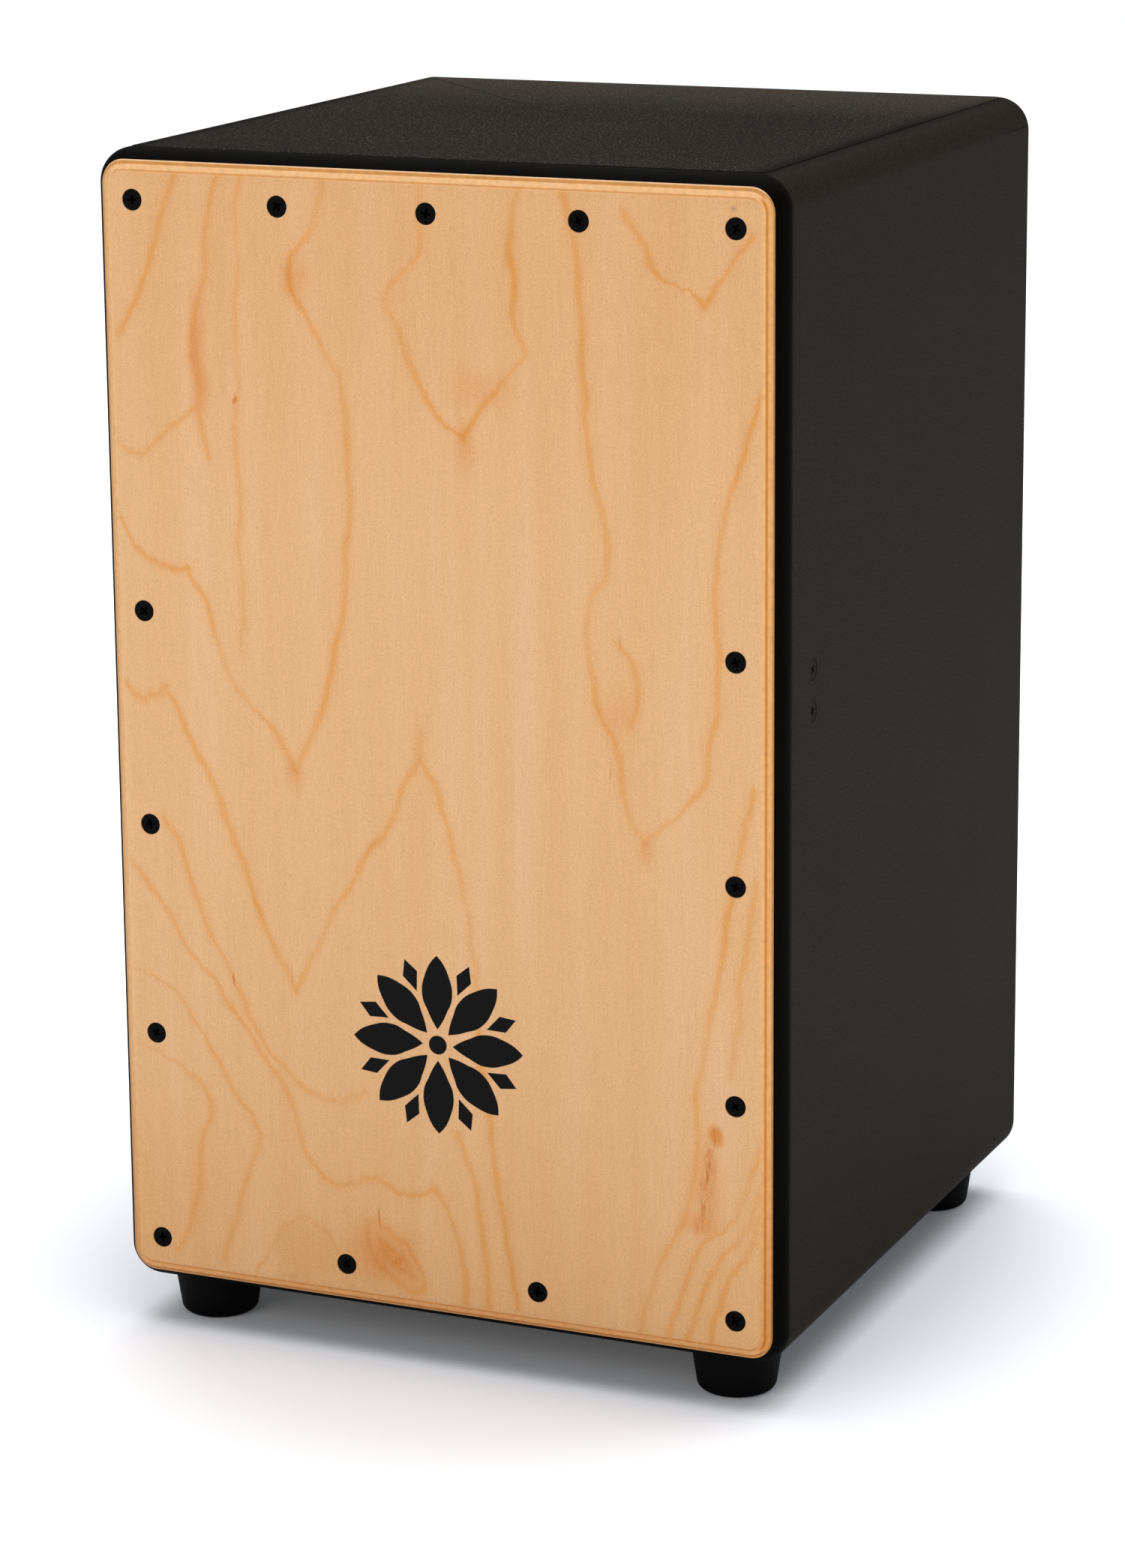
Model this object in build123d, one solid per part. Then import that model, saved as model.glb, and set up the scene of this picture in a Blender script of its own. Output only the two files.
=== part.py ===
"""Snare cajon: a box drum that the player sits on and strikes on its thin front plate.

Millimetres, +Z up.  The origin is on the floor under the middle of the drum.
The front plate (tapa) faces -Y, the sound hole faces +Y and +X is the right side
as seen by a listener who stands in front.
"""
from build123d import *
import os
from math import asin, cos, degrees, radians, sin, tan

# ---------------------------------------------------------------- driving sizes
WIDTH = 298.0                 # outside, left to right
DEPTH = 302.0                 # outside, front plate to rear edge
SHELL_HEIGHT = 480.0          # box without its feet
FOOT_HEIGHT = 20.0
PANEL = 12.0                  # top, bottom and side boards
TAPA = 3.0                    # front plate, three-ply
BACK = 6.0                    # back board
BACK_RECESS = 1.0             # back board lies this far inside the rear edge
BACK_GAP = 0.5                # fitting gap round the back board

LONG_EDGE_R = 14.0            # long edges that run front to back
FRONT_EDGE_R = 12.0           # router roundover that cuts plate and shell together
REAR_EDGE_R = 2.0

BATTEN = 18.0                 # square section of the front and rear frames
GLUE_STRIP = 22.0             # legs of the triangular corner strips

SEAT_SHEET = 0.4              # anti-slip sheet on the top
SEAT_SIDE_MARGIN = 12.0
SEAT_REAR_MARGIN = 3.0
SEAT_CORNER_R = 3.0

SOUND_HOLE_R = 60.0
SOUND_HOLE_EDGE_R = 2.0

# fasteners
PLATE_HEAD_R = 4.3            # countersunk heads on the front plate and the sides
PLATE_SHANK_R = 2.1
PLATE_SCREW_LENGTH = 20.0
RAIL_SCREW_LENGTH = 40.0
BACK_HEAD_R = 3.6
BACK_SHANK_R = 1.6
BACK_SCREW_LENGTH = 18.0
SINK_CLEARANCE = 0.15         # countersinks are this much wider than the heads
SINK_DEPTH = 0.15             # heads lie this far below the surface
PAN_HEAD_R = 4.2
PAN_HEAD_HEIGHT = 2.6
SMALL_PAN_R = 2.8
SMALL_PAN_HEIGHT = 1.8
SMALL_SHANK_R = 1.3
SMALL_SCREW_LENGTH = 12.0

# front plate screw pattern, measured from the outer faces
SCREW_SIDE_INSET = 19.0
SCREW_END_INSET = 20.0
TOP_ROW = 5
BOTTOM_ROW = 4
SIDE_SCREWS = 3
SIDE_PITCH = 90.4             # the three side screws step up from the bottom row

# back board screw pattern
BACK_SCREW_INSET = 21.0
BACK_ROW = 3
BACK_SIDE_SCREWS = 3

# snare bar and wires
RAIL_HEIGHT = 36.0
RAIL_THICKNESS = 18.0
RAIL_FRONT_OFFSET = 26.0      # front plate face to the rail's front face
RAIL_MIDDLE = 294.0           # above the floor
RAIL_SCREW_PITCH = 17.0
WIRE_SETS_APART = 144.0       # centre to centre
STRANDS = 12
STRAND_PITCH = 5.0
STRAND_R = 1.1
STRAND_LENGTH = 130.0
CLAMP_WIDTH = 64.0
CLAMP_HEIGHT = 14.0
CLAMP_LIP = 9.0
CLAMP_SHEET = 1.0
TIP_HEIGHT = 8.0
TIP_SHEET = 0.6
PLATE_SCREWS_APART = 48.0
WIRE_TO_TAPA = 0.4            # free air between the resting wires and the plate

# rubber feet
FOOT_TOP_R = 19.0
FOOT_BOTTOM_R = 16.0
FOOT_EDGE_R = 3.0
FOOT_INSET = 30.0             # foot centre from the outer faces
FOOT_WELL_R = 7.0
FOOT_WELL_DEPTH = 11.0
WASHER_R = 6.4
WASHER_THICKNESS = 1.5
FOOT_SCREW_GRIP = 10.0        # how far the screw bites into the bottom board

# ---------------------------------------------------------------- worked-out places
LEFT, RIGHT = -WIDTH / 2, WIDTH / 2
FRONT, REAR = -DEPTH / 2, DEPTH / 2
BASE = FOOT_HEIGHT
TOP = FOOT_HEIGHT + SHELL_HEIGHT
MIDDLE = (BASE + TOP) / 2
INNER_X = RIGHT - PANEL
INNER_BASE = BASE + PANEL
INNER_TOP = TOP - PANEL
SHELL_FRONT = FRONT + TAPA
BACK_OUTER = REAR - BACK_RECESS
BACK_INNER = BACK_OUTER - BACK
FRONT_FRAME_REAR = SHELL_FRONT + BATTEN
REAR_FRAME_FRONT = BACK_INNER - BATTEN
RAIL_FRONT = FRONT + RAIL_FRONT_OFFSET
RAIL_REAR = RAIL_FRONT + RAIL_THICKNESS
RAIL_MID_Y = (RAIL_FRONT + RAIL_REAR) / 2
CUTTER = 5.0                  # cutting tools stand this far proud of what they cut

# the wires' own frame starts on the clamp plate's bend line and leans forward
WIRE_START_Y = RAIL_FRONT - CLAMP_SHEET
WIRE_START_Z = RAIL_MIDDLE + 8.0
WIRE_RUN = WIRE_START_Y - SHELL_FRONT - 2 * STRAND_R - WIRE_TO_TAPA
WIRE_LEAN = degrees(asin(WIRE_RUN / STRAND_LENGTH))


# ---------------------------------------------------------------- small helpers
def block(x0, x1, y0, y1, z0, z1):
    """A box between two corners."""
    shape = Box(x1 - x0, y1 - y0, z1 - z0)
    return Pos((x0 + x1) / 2, (y0 + y1) / 2, (z0 + z1) / 2) * shape


def rounded_box():
    """The outside of the finished box; every shell board is cut to it."""
    shape = block(LEFT, RIGHT, FRONT, REAR, BASE, TOP)
    shape = fillet(shape.edges().filter_by(Axis.Y), LONG_EDGE_R)
    front_edges = shape.faces().sort_by(Axis.Y)[0].edges()
    shape = fillet(front_edges, FRONT_EDGE_R)
    rear_edges = shape.faces().sort_by(Axis.Y)[-1].edges()
    return fillet(rear_edges, REAR_EDGE_R)


def cross_recess(reach, depth):
    """Cross-shaped driver recess that narrows towards its floor, mouth at z = 0."""
    blade = reach * 0.42
    cross = Box(2 * reach, blade, 2 * depth) + Box(blade, 2 * reach, 2 * depth)
    taper = Pos(0, 0, -depth / 2) * Cone(reach * 0.35, reach, depth)
    return cross & (taper + Pos(0, 0, depth / 2) * Cylinder(reach, depth))


def flat_screw(head_r, shank_r, length):
    """Countersunk wood screw, head face at z = 0 and point towards -Z."""
    cone = head_r - shank_r
    rim = 0.3
    head = Pos(0, 0, -rim / 2) * Cylinder(head_r, rim)
    head += Pos(0, 0, -rim - cone / 2) * Cone(shank_r, head_r, cone)
    point = shank_r * 2
    straight = length - rim - cone - point
    shank = Pos(0, 0, -rim - cone - straight / 2) * Cylinder(shank_r, straight)
    tip = Pos(0, 0, -length + point / 2) * Cone(shank_r * 0.15, shank_r, point)
    return head + shank + tip - cross_recess(head_r * 0.56, head_r * 0.5)


def flat_sink(head_r, shank_r, length):
    """The hole that a countersunk screw sits in, mouth at z = 0."""
    mouth_r = head_r + SINK_CLEARANCE
    rim = 0.3 + SINK_DEPTH
    cone = head_r - shank_r
    hole = Pos(0, 0, (CUTTER - rim) / 2) * Cylinder(mouth_r, CUTTER + rim)
    hole += Pos(0, 0, -rim - cone / 2) * Cone(shank_r, mouth_r, cone)
    reach = length + SINK_DEPTH - rim
    return hole + Pos(0, 0, -rim - reach / 2) * Cylinder(shank_r, reach)


def pan_screw(head_r, head_height, shank_r, length):
    """Dome-headed screw, underside of the head at z = 0, shank towards -Z."""
    head = Pos(0, 0, head_height / 2) * Cylinder(head_r, head_height)
    head = fillet(head.edges().group_by(Axis.Z)[-1], head_height * 0.6)
    head -= Pos(0, 0, head_height) * cross_recess(head_r * 0.55, head_height * 0.6)
    shank = Pos(0, 0, -length / 2) * Cylinder(shank_r, length)
    tip = chamfer(shank.edges().group_by(Axis.Z)[0], shank_r * 0.6)
    return head + tip


FACING_FRONT = Rot(X=90)
FACING_REAR = Rot(X=-90)
FACING_RIGHT = Rot(Y=90)
FACING_LEFT = Rot(Y=-90)
FACING_DOWN = Rot(X=180)


# ---------------------------------------------------------------- screw patterns
def evenly(first, last, count):
    """count places from first to last."""
    return [first + (last - first) * i / (count - 1) for i in range(count)]


def tapa_screw_places():
    """Front plate screws by row: lists of (x, z)."""
    side = RIGHT - SCREW_SIDE_INSET
    low = BASE + SCREW_END_INSET
    high = TOP - SCREW_END_INSET
    steps = [low + SIDE_PITCH * (i + 1) for i in range(SIDE_SCREWS)]
    return {
        "top": [(x, high) for x in evenly(-side, side, TOP_ROW)],
        "bottom": [(x, low) for x in evenly(-side, side, BOTTOM_ROW)],
        "left": [(-side, z) for z in steps],
        "right": [(side, z) for z in steps],
    }


def back_screw_places():
    """Back board screws by row: lists of (x, z)."""
    side = RIGHT - BACK_SCREW_INSET
    low = BASE + BACK_SCREW_INSET
    high = TOP - BACK_SCREW_INSET
    steps = evenly(low, high, BACK_SIDE_SCREWS + 2)[1:-1]
    return {
        "top": [(x, high) for x in evenly(-side, side, BACK_ROW)],
        "bottom": [(x, low) for x in evenly(-side, side, BACK_ROW)],
        "left": [(-side, z) for z in steps],
        "right": [(side, z) for z in steps],
    }


def placed(shape, places, turn, y):
    """Copies of a screw or its hole at (x, z) places on a face at y."""
    return [Pos(x, y, z) * turn * shape for x, z in places]


def rail_screw_heights():
    half = RAIL_SCREW_PITCH / 2
    return [RAIL_MIDDLE - half, RAIL_MIDDLE + half]


def side_placed(shape, side):
    """Copies of a rail screw or its hole on the left (-1) or right (+1) face."""
    turn = FACING_RIGHT if side > 0 else FACING_LEFT
    return [Pos(side * RIGHT, RAIL_MID_Y, z) * turn * shape for z in rail_screw_heights()]


def foot_places():
    """Foot centres by name."""
    x = RIGHT - FOOT_INSET
    return {
        "front_left": (-x, FRONT + FOOT_INSET),
        "front_right": (x, FRONT + FOOT_INSET),
        "rear_left": (-x, REAR - FOOT_INSET),
        "rear_right": (x, REAR - FOOT_INSET),
    }


# ---------------------------------------------------------------- shell boards
def shell_boards():
    """Top and bottom run full width and lap the ends of the two side boards."""
    outside = rounded_box()
    top = outside & block(LEFT, RIGHT, SHELL_FRONT, REAR, INNER_TOP, TOP)
    bottom = outside & block(LEFT, RIGHT, SHELL_FRONT, REAR, BASE, INNER_BASE)
    pilot = Pos(0, 0, BASE + FOOT_SCREW_GRIP / 2) * Cylinder(PLATE_SHANK_R, FOOT_SCREW_GRIP)
    for x, y in foot_places().values():
        bottom -= Pos(x, y, 0) * pilot
    sink = flat_sink(PLATE_HEAD_R, PLATE_SHANK_R, RAIL_SCREW_LENGTH)
    boards = {"top_panel": top, "bottom_panel": bottom}
    for side, name in ((-1, "left_side_panel"), (1, "right_side_panel")):
        inner, outer = sorted((side * INNER_X, side * RIGHT))
        board = outside & block(inner, outer, SHELL_FRONT, REAR, INNER_BASE, INNER_TOP)
        for hole in side_placed(sink, side):
            board -= hole
        boards[name] = board
    return boards


def tapa_plate():
    """Thin front plate, edges rounded with the shell, one countersink per screw."""
    plate = rounded_box() & block(LEFT, RIGHT, FRONT, SHELL_FRONT, BASE, TOP)
    sink = flat_sink(PLATE_HEAD_R, PLATE_SHANK_R, PLATE_SCREW_LENGTH)
    for row in tapa_screw_places().values():
        for hole in placed(sink, row, FACING_FRONT, FRONT):
            plate -= hole
    return plate


def back_board():
    """Back board with the sound hole, let into the rear of the shell."""
    half = INNER_X - BACK_GAP
    low, high = INNER_BASE + BACK_GAP, INNER_TOP - BACK_GAP
    board = block(-half, half, BACK_INNER, BACK_OUTER, low, high)
    hole = Pos(0, BACK_OUTER, MIDDLE) * FACING_REAR * Cylinder(SOUND_HOLE_R, 4 * BACK)
    board -= hole
    rim = board.edges().filter_by(GeomType.CIRCLE).group_by(Axis.Y)[-1]
    board = fillet(rim, SOUND_HOLE_EDGE_R)
    sink = flat_sink(BACK_HEAD_R, BACK_SHANK_R, BACK_SCREW_LENGTH)
    for row in back_screw_places().values():
        for cut in placed(sink, row, FACING_REAR, BACK_OUTER):
            board -= cut
    return board


def seat_grip_sheet():
    """Anti-slip sheet glued to the flat of the top."""
    half = RIGHT - SEAT_SIDE_MARGIN
    start, end = FRONT + FRONT_EDGE_R, REAR - SEAT_REAR_MARGIN
    sheet = block(-half, half, start, end, TOP, TOP + SEAT_SHEET)
    return fillet(sheet.edges().filter_by(Axis.Z), SEAT_CORNER_R)


# ---------------------------------------------------------------- inner frames
def frame_battens(prefix, y0, y1, holes):
    """Four battens glued round the inside; the upright pair stands between the others."""
    shapes = {
        "top": block(-INNER_X, INNER_X, y0, y1, INNER_TOP - BATTEN, INNER_TOP),
        "bottom": block(-INNER_X, INNER_X, y0, y1, INNER_BASE, INNER_BASE + BATTEN),
    }
    z0, z1 = INNER_BASE + BATTEN, INNER_TOP - BATTEN
    shapes["left"] = block(-INNER_X, -INNER_X + BATTEN, y0, y1, z0, z1)
    shapes["right"] = block(INNER_X - BATTEN, INNER_X, y0, y1, z0, z1)
    for row, cuts in holes.items():
        for cut in cuts:
            shapes[row] -= cut
    return {f"{prefix}_batten_{row}": shape for row, shape in shapes.items()}


def inner_frames():
    front_sink = flat_sink(PLATE_HEAD_R, PLATE_SHANK_R, PLATE_SCREW_LENGTH)
    back_sink = flat_sink(BACK_HEAD_R, BACK_SHANK_R, BACK_SCREW_LENGTH)
    front_holes = {
        row: placed(front_sink, places, FACING_FRONT, FRONT)
        for row, places in tapa_screw_places().items()
    }
    back_holes = {
        row: placed(back_sink, places, FACING_REAR, BACK_OUTER)
        for row, places in back_screw_places().items()
    }
    nodes = frame_battens("front", SHELL_FRONT, FRONT_FRAME_REAR, front_holes)
    nodes.update(frame_battens("rear", REAR_FRAME_FRONT, BACK_INNER, back_holes))
    return nodes


def corner_strips():
    """Triangular glue strips in the four long inner corners."""
    length = REAR_FRAME_FRONT - FRONT_FRAME_REAR
    nodes = {}
    for x_side, x_name in ((-1, "left"), (1, "right")):
        for z_side, z_name in ((-1, "bottom"), (1, "top")):
            corner_z = INNER_TOP if z_side > 0 else INNER_BASE
            corner = Vector(x_side * INNER_X, FRONT_FRAME_REAR, corner_z)
            along = corner - Vector(x_side * GLUE_STRIP, 0, 0)
            down = corner - Vector(0, 0, z_side * GLUE_STRIP)
            triangle = make_face(Polyline(corner, along, down, close=True))
            strip = extrude(triangle, amount=length, dir=(0, 1, 0))
            nodes[f"corner_strip_{z_name}_{x_name}"] = strip
    return nodes


# ---------------------------------------------------------------- snare
def snare_rail():
    """Bar across the inside; two screws through each side board hold its ends."""
    z0, z1 = RAIL_MIDDLE - RAIL_HEIGHT / 2, RAIL_MIDDLE + RAIL_HEIGHT / 2
    rail = block(-INNER_X, INNER_X, RAIL_FRONT, RAIL_REAR, z0, z1)
    sink = flat_sink(PLATE_HEAD_R, PLATE_SHANK_R, RAIL_SCREW_LENGTH)
    for side in (-1, 1):
        for hole in side_placed(sink, side):
            rail -= hole
    pilot = Cylinder(SMALL_SHANK_R, 2 * SMALL_SCREW_LENGTH)
    for x, z in plate_screw_places(-1) + plate_screw_places(1):
        rail -= Pos(x, WIRE_START_Y, z) * FACING_FRONT * pilot
    return rail


def set_middle(side):
    return side * WIRE_SETS_APART / 2


def plate_screw_places(side):
    """The clamp plate's two screws, (x, z)."""
    z = WIRE_START_Z - CLAMP_HEIGHT / 2
    half = PLATE_SCREWS_APART / 2
    return [(set_middle(side) - half, z), (set_middle(side) + half, z)]


def wire_frame(side):
    """Leaning frame of one wire set: origin on the bend line, +Z along the wires."""
    return Pos(set_middle(side), WIRE_START_Y, WIRE_START_Z) * Rot(X=WIRE_LEAN)


def clamp_plate(side):
    """Bent steel plate: its flat is screwed to the rail, its lip leans with the wires."""
    lean = radians(WIRE_LEAN)
    up_y, up_z = CLAMP_LIP * -sin(lean), CLAMP_LIP * cos(lean)
    back_y, back_z = CLAMP_SHEET * cos(lean), CLAMP_SHEET * sin(lean)
    outline = [
        (WIRE_START_Y, WIRE_START_Z - CLAMP_HEIGHT),
        (RAIL_FRONT, WIRE_START_Z - CLAMP_HEIGHT),
        (RAIL_FRONT, WIRE_START_Z + CLAMP_SHEET * tan(lean / 2)),
        (WIRE_START_Y + up_y + back_y, WIRE_START_Z + up_z + back_z),
        (WIRE_START_Y + up_y, WIRE_START_Z + up_z),
        (WIRE_START_Y, WIRE_START_Z),
    ]
    start = set_middle(side) - CLAMP_WIDTH / 2
    profile = make_face(Polyline(*[(start, y, z) for y, z in outline], close=True))
    plate = extrude(profile, amount=CLAMP_WIDTH, dir=(1, 0, 0))
    for x, z in plate_screw_places(side):
        plate -= Pos(x, RAIL_FRONT, z) * FACING_FRONT * Cylinder(SMALL_SHANK_R, CUTTER)
    return plate


def snare_set(side, name):
    """One set of straight snare wires with its clamp plate, tip strip and screws."""
    half = CLAMP_WIDTH / 2
    tip = wire_frame(side) * block(
        -half, half, 0, TIP_SHEET, STRAND_LENGTH - TIP_HEIGHT, STRAND_LENGTH
    )
    strand = Pos(0, -STRAND_R, STRAND_LENGTH / 2) * Cylinder(STRAND_R, STRAND_LENGTH)
    first = -STRAND_PITCH * (STRANDS - 1) / 2
    strands = [
        wire_frame(side) * Pos(first + STRAND_PITCH * i, 0, 0) * strand
        for i in range(STRANDS)
    ]
    screw = pan_screw(SMALL_PAN_R, SMALL_PAN_HEIGHT, SMALL_SHANK_R, SMALL_SCREW_LENGTH)
    screws = placed(screw, plate_screw_places(side), FACING_FRONT, WIRE_START_Y)
    return {
        f"snare_wires_{name}": strands,
        f"snare_clamp_plate_{name}": clamp_plate(side),
        f"snare_tip_strip_{name}": tip,
        f"snare_plate_screws_{name}": screws,
    }


# ---------------------------------------------------------------- feet
def rubber_foot():
    """Tapered rubber foot with a stepped well for its screw, standing on z = 0."""
    body = Pos(0, 0, FOOT_HEIGHT / 2) * Cone(FOOT_BOTTOM_R, FOOT_TOP_R, FOOT_HEIGHT)
    body = fillet(body.edges().group_by(Axis.Z)[0], FOOT_EDGE_R)
    body -= Pos(0, 0, FOOT_WELL_DEPTH / 2) * Cylinder(FOOT_WELL_R, FOOT_WELL_DEPTH)
    return body - Pos(0, 0, FOOT_HEIGHT / 2) * Cylinder(PLATE_SHANK_R, FOOT_HEIGHT)


def foot_washer():
    """Steel washer at the top of the foot's well."""
    z = FOOT_WELL_DEPTH - WASHER_THICKNESS / 2
    ring = Cylinder(WASHER_R, WASHER_THICKNESS) - Cylinder(PLATE_SHANK_R, WASHER_THICKNESS)
    return Pos(0, 0, z) * ring


def foot_screw():
    """Dome-headed screw that points up through the washer into the bottom board."""
    seat = FOOT_WELL_DEPTH - WASHER_THICKNESS
    length = FOOT_HEIGHT - seat + FOOT_SCREW_GRIP
    screw = pan_screw(PAN_HEAD_R, PAN_HEAD_HEIGHT, PLATE_SHANK_R, length)
    return Pos(0, 0, seat) * FACING_DOWN * screw


def feet():
    nodes = {}
    for name, (x, y) in foot_places().items():
        nodes[f"foot_{name}"] = Pos(x, y, 0) * rubber_foot()
        nodes[f"foot_washer_{name}"] = Pos(x, y, 0) * foot_washer()
        nodes[f"foot_screw_{name}"] = Pos(x, y, 0) * foot_screw()
    return nodes


# ---------------------------------------------------------------- loose screws
def board_screws():
    """Countersunk screws of the front plate, the back board and the snare rail."""
    nodes = {}
    screw = flat_screw(PLATE_HEAD_R, PLATE_SHANK_R, PLATE_SCREW_LENGTH)
    for row, places in tapa_screw_places().items():
        nodes[f"tapa_screws_{row}"] = placed(screw, places, FACING_FRONT, FRONT + SINK_DEPTH)
    screw = flat_screw(BACK_HEAD_R, BACK_SHANK_R, BACK_SCREW_LENGTH)
    for row, places in back_screw_places().items():
        face = BACK_OUTER - SINK_DEPTH
        nodes[f"back_screws_{row}"] = placed(screw, places, FACING_REAR, face)
    screw = Pos(0, 0, -SINK_DEPTH) * flat_screw(PLATE_HEAD_R, PLATE_SHANK_R, RAIL_SCREW_LENGTH)
    for side, name in ((-1, "left"), (1, "right")):
        nodes[f"snare_rail_screws_{name}"] = side_placed(screw, side)
    return nodes


# ---------------------------------------------------------------- write the nodes
def all_nodes():
    nodes = shell_boards()
    nodes["tapa"] = tapa_plate()
    nodes["back_panel"] = back_board()
    nodes["seat_grip_sheet"] = seat_grip_sheet()
    nodes.update(inner_frames())
    nodes.update(corner_strips())
    nodes["snare_rail"] = snare_rail()
    for side, name in ((-1, "left"), (1, "right")):
        nodes.update(snare_set(side, name))
    nodes.update(feet())
    nodes.update(board_screws())
    return nodes


os.makedirs("parts", exist_ok=True)
for node, shape in all_nodes().items():
    whole = Compound(children=shape) if isinstance(shape, list) else shape
    export_step(whole, f"parts/{node}.step")
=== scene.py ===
from math import atan, cos, pi, radians, sin

import bmesh
import bpy
from mathutils import Matrix, Vector


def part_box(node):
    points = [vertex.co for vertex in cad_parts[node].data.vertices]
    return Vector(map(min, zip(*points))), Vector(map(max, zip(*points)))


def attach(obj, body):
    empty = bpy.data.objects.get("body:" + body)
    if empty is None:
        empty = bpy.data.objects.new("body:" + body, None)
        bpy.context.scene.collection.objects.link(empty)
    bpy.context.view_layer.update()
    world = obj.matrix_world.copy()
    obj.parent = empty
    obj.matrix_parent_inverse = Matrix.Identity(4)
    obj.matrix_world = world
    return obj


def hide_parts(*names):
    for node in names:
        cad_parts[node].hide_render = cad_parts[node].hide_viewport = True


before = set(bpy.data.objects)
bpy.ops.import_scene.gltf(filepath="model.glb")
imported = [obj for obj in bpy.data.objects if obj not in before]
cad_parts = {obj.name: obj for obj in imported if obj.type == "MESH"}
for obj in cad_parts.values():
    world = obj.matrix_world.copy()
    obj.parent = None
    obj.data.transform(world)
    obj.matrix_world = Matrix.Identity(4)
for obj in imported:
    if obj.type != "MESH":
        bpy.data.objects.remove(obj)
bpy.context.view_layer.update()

# ------------------------------------------------------------------ view and light
# A long lens a little right of the drum's front and a little above it. The drum stands on a
# plain white floor that runs back out of sight, under one broad overhead light, with a wide
# soft light before the front plate and a weaker one on the right.
VIEW_AZIMUTH, VIEW_DOWN, VIEW_ROLL = 23.9, 13.45, -0.56
VIEW_PLACE = (0.7713, -1.7892, 0.7155)

lens = bpy.data.cameras.new("view")
lens.lens, lens.sensor_width = 106.8, 36.0
lens.shift_x, lens.shift_y = 0.0167, -0.0505
lens.clip_start, lens.clip_end = 0.05, 60.0
view = bpy.data.objects.new("view", lens)
bpy.context.scene.collection.objects.link(view)
turn = Matrix.Rotation(radians(VIEW_AZIMUTH), 4, "Z") @ Matrix.Rotation(radians(90 - VIEW_DOWN), 4, "X")
view.matrix_world = Matrix.Translation(VIEW_PLACE) @ turn @ Matrix.Rotation(radians(VIEW_ROLL), 4, "Z")
bpy.context.scene.camera = view
bpy.context.scene.view_settings.view_transform = "Standard"


def srgb(code):
    """An sRGB hex colour as the linear values that a shader takes."""
    parts = [int(code[i:i + 2], 16) / 255 for i in (1, 3, 5)]
    return (*[p / 12.92 if p <= 0.04045 else ((p + 0.055) / 1.055) ** 2.4 for p in parts], 1.0)


def soft_light(name, place, aim, width, height, watts, tint):
    """A rectangular studio light that faces its aim."""
    lamp = bpy.data.lights.new(name, "AREA")
    lamp.shape, lamp.size, lamp.size_y = "RECTANGLE", width, height
    lamp.energy, lamp.color = watts, srgb(tint)[:3]
    stand = bpy.data.objects.new(name, lamp)
    stand.location = place
    stand.rotation_euler = (Vector(aim) - Vector(place)).to_track_quat("-Z", "Y").to_euler()
    bpy.context.scene.collection.objects.link(stand)


soft_light("overhead", (0.1, 0.3, 3.0), (0, 0, 0), 3.4, 3.4, 112, "#ffffff")
soft_light("front", (-1.1, -3.2, 1.5), (0, 0, 0.25), 2.6, 2.2, 24, "#fffaf2")
soft_light("right", (3.2, -0.6, 1.2), (0, 0, 0.25), 1.8, 2.2, 6, "#f4f7ff")


def feed(tree, node, inputs):
    """Fills a node's inputs: a node or a socket is linked, and a hex colour is turned to linear."""
    for key, value in inputs.items():
        source = value.outputs[0] if isinstance(value, bpy.types.Node) else value
        if isinstance(source, bpy.types.NodeSocket):
            tree.links.new(source, node.inputs[key])
        else:
            node.inputs[key].default_value = srgb(source) if isinstance(source, str) else source


def add(tree, kind, inputs, stops=(), **settings):
    """Adds a shader node with its settings, its inputs and the colour stops of a ramp."""
    node = tree.nodes.new("ShaderNode" + kind)
    for name, value in settings.items():
        setattr(node, name, value)
    feed(tree, node, inputs)
    for i, (at, tone) in enumerate(stops):
        ramp = node.color_ramp.elements
        stop = ramp[i] if i < 2 else ramp.new(at)
        stop.position, stop.color = at, srgb(tone)
    return node


sky = bpy.data.worlds.new("studio")
sky.use_nodes = True
feed(sky.node_tree, sky.node_tree.nodes["Background"], {"Color": "#f2f4f8", "Strength": 0.42})
bpy.context.scene.world = sky


def material(name):
    """An empty node material: its tree, its Principled shader and its object coordinates."""
    made = bpy.data.materials.new(name)
    made.use_nodes = True
    tree = made.node_tree
    shader = tree.nodes["Principled BSDF"]
    place = add(tree, "TexCoord", {}).outputs["Object"]
    return made, tree, shader, place


def paint_slots(piece, *materials):
    """Gives a piece its materials, in the order of its material slots."""
    piece.data.materials.clear()
    for one in materials:
        piece.data.materials.append(one)


def pick(*pieces):
    """Selects just these pieces, or nothing, and makes the last one active."""
    bpy.ops.object.select_all(action="DESELECT")
    for piece in pieces:
        piece.select_set(True)
        bpy.context.view_layer.objects.active = piece


# Seamless white floor of matte vinyl, with a faint unevenness in its tone. It is lit from
# under like a light table, but not where the drum stands, so that its shadow stays.
FLOOR_SIDE = 40.0
LIT_FROM, LIT_FULLY = 0.22, 0.55
DIM, BRIGHT = 0.04, 0.65
pick()
bpy.ops.mesh.primitive_plane_add(size=FLOOR_SIDE)
floor = bpy.context.object
floor.name = "floor"
vinyl, tree, shader, place = material("white_vinyl_sweep")
drift = add(tree, "TexNoise", {"Vector": place, "Scale": 1.5})
tone = add(tree, "ValToRGB", {"Fac": drift}, [(0.3, "#ecf0f6"), (0.7, "#f0f3f8")])
oval = add(tree, "Mapping", {"Vector": place, "Scale": (1.35, 1.0, 1.0)})
far = add(tree, "VectorMath", {0: oval}, operation="LENGTH").outputs["Value"]
glow = {"Value": far, "From Min": LIT_FROM, "From Max": LIT_FULLY, "To Min": DIM, "To Max": BRIGHT}
feed(tree, shader, {"Emission Strength": add(tree, "MapRange", glow), "Emission Color": "#ffffff"})
feed(tree, shader, {"Base Color": tone, "Roughness": 0.8, "Specular IOR Level": 0.1})
paint_slots(floor, vinyl)


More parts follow.
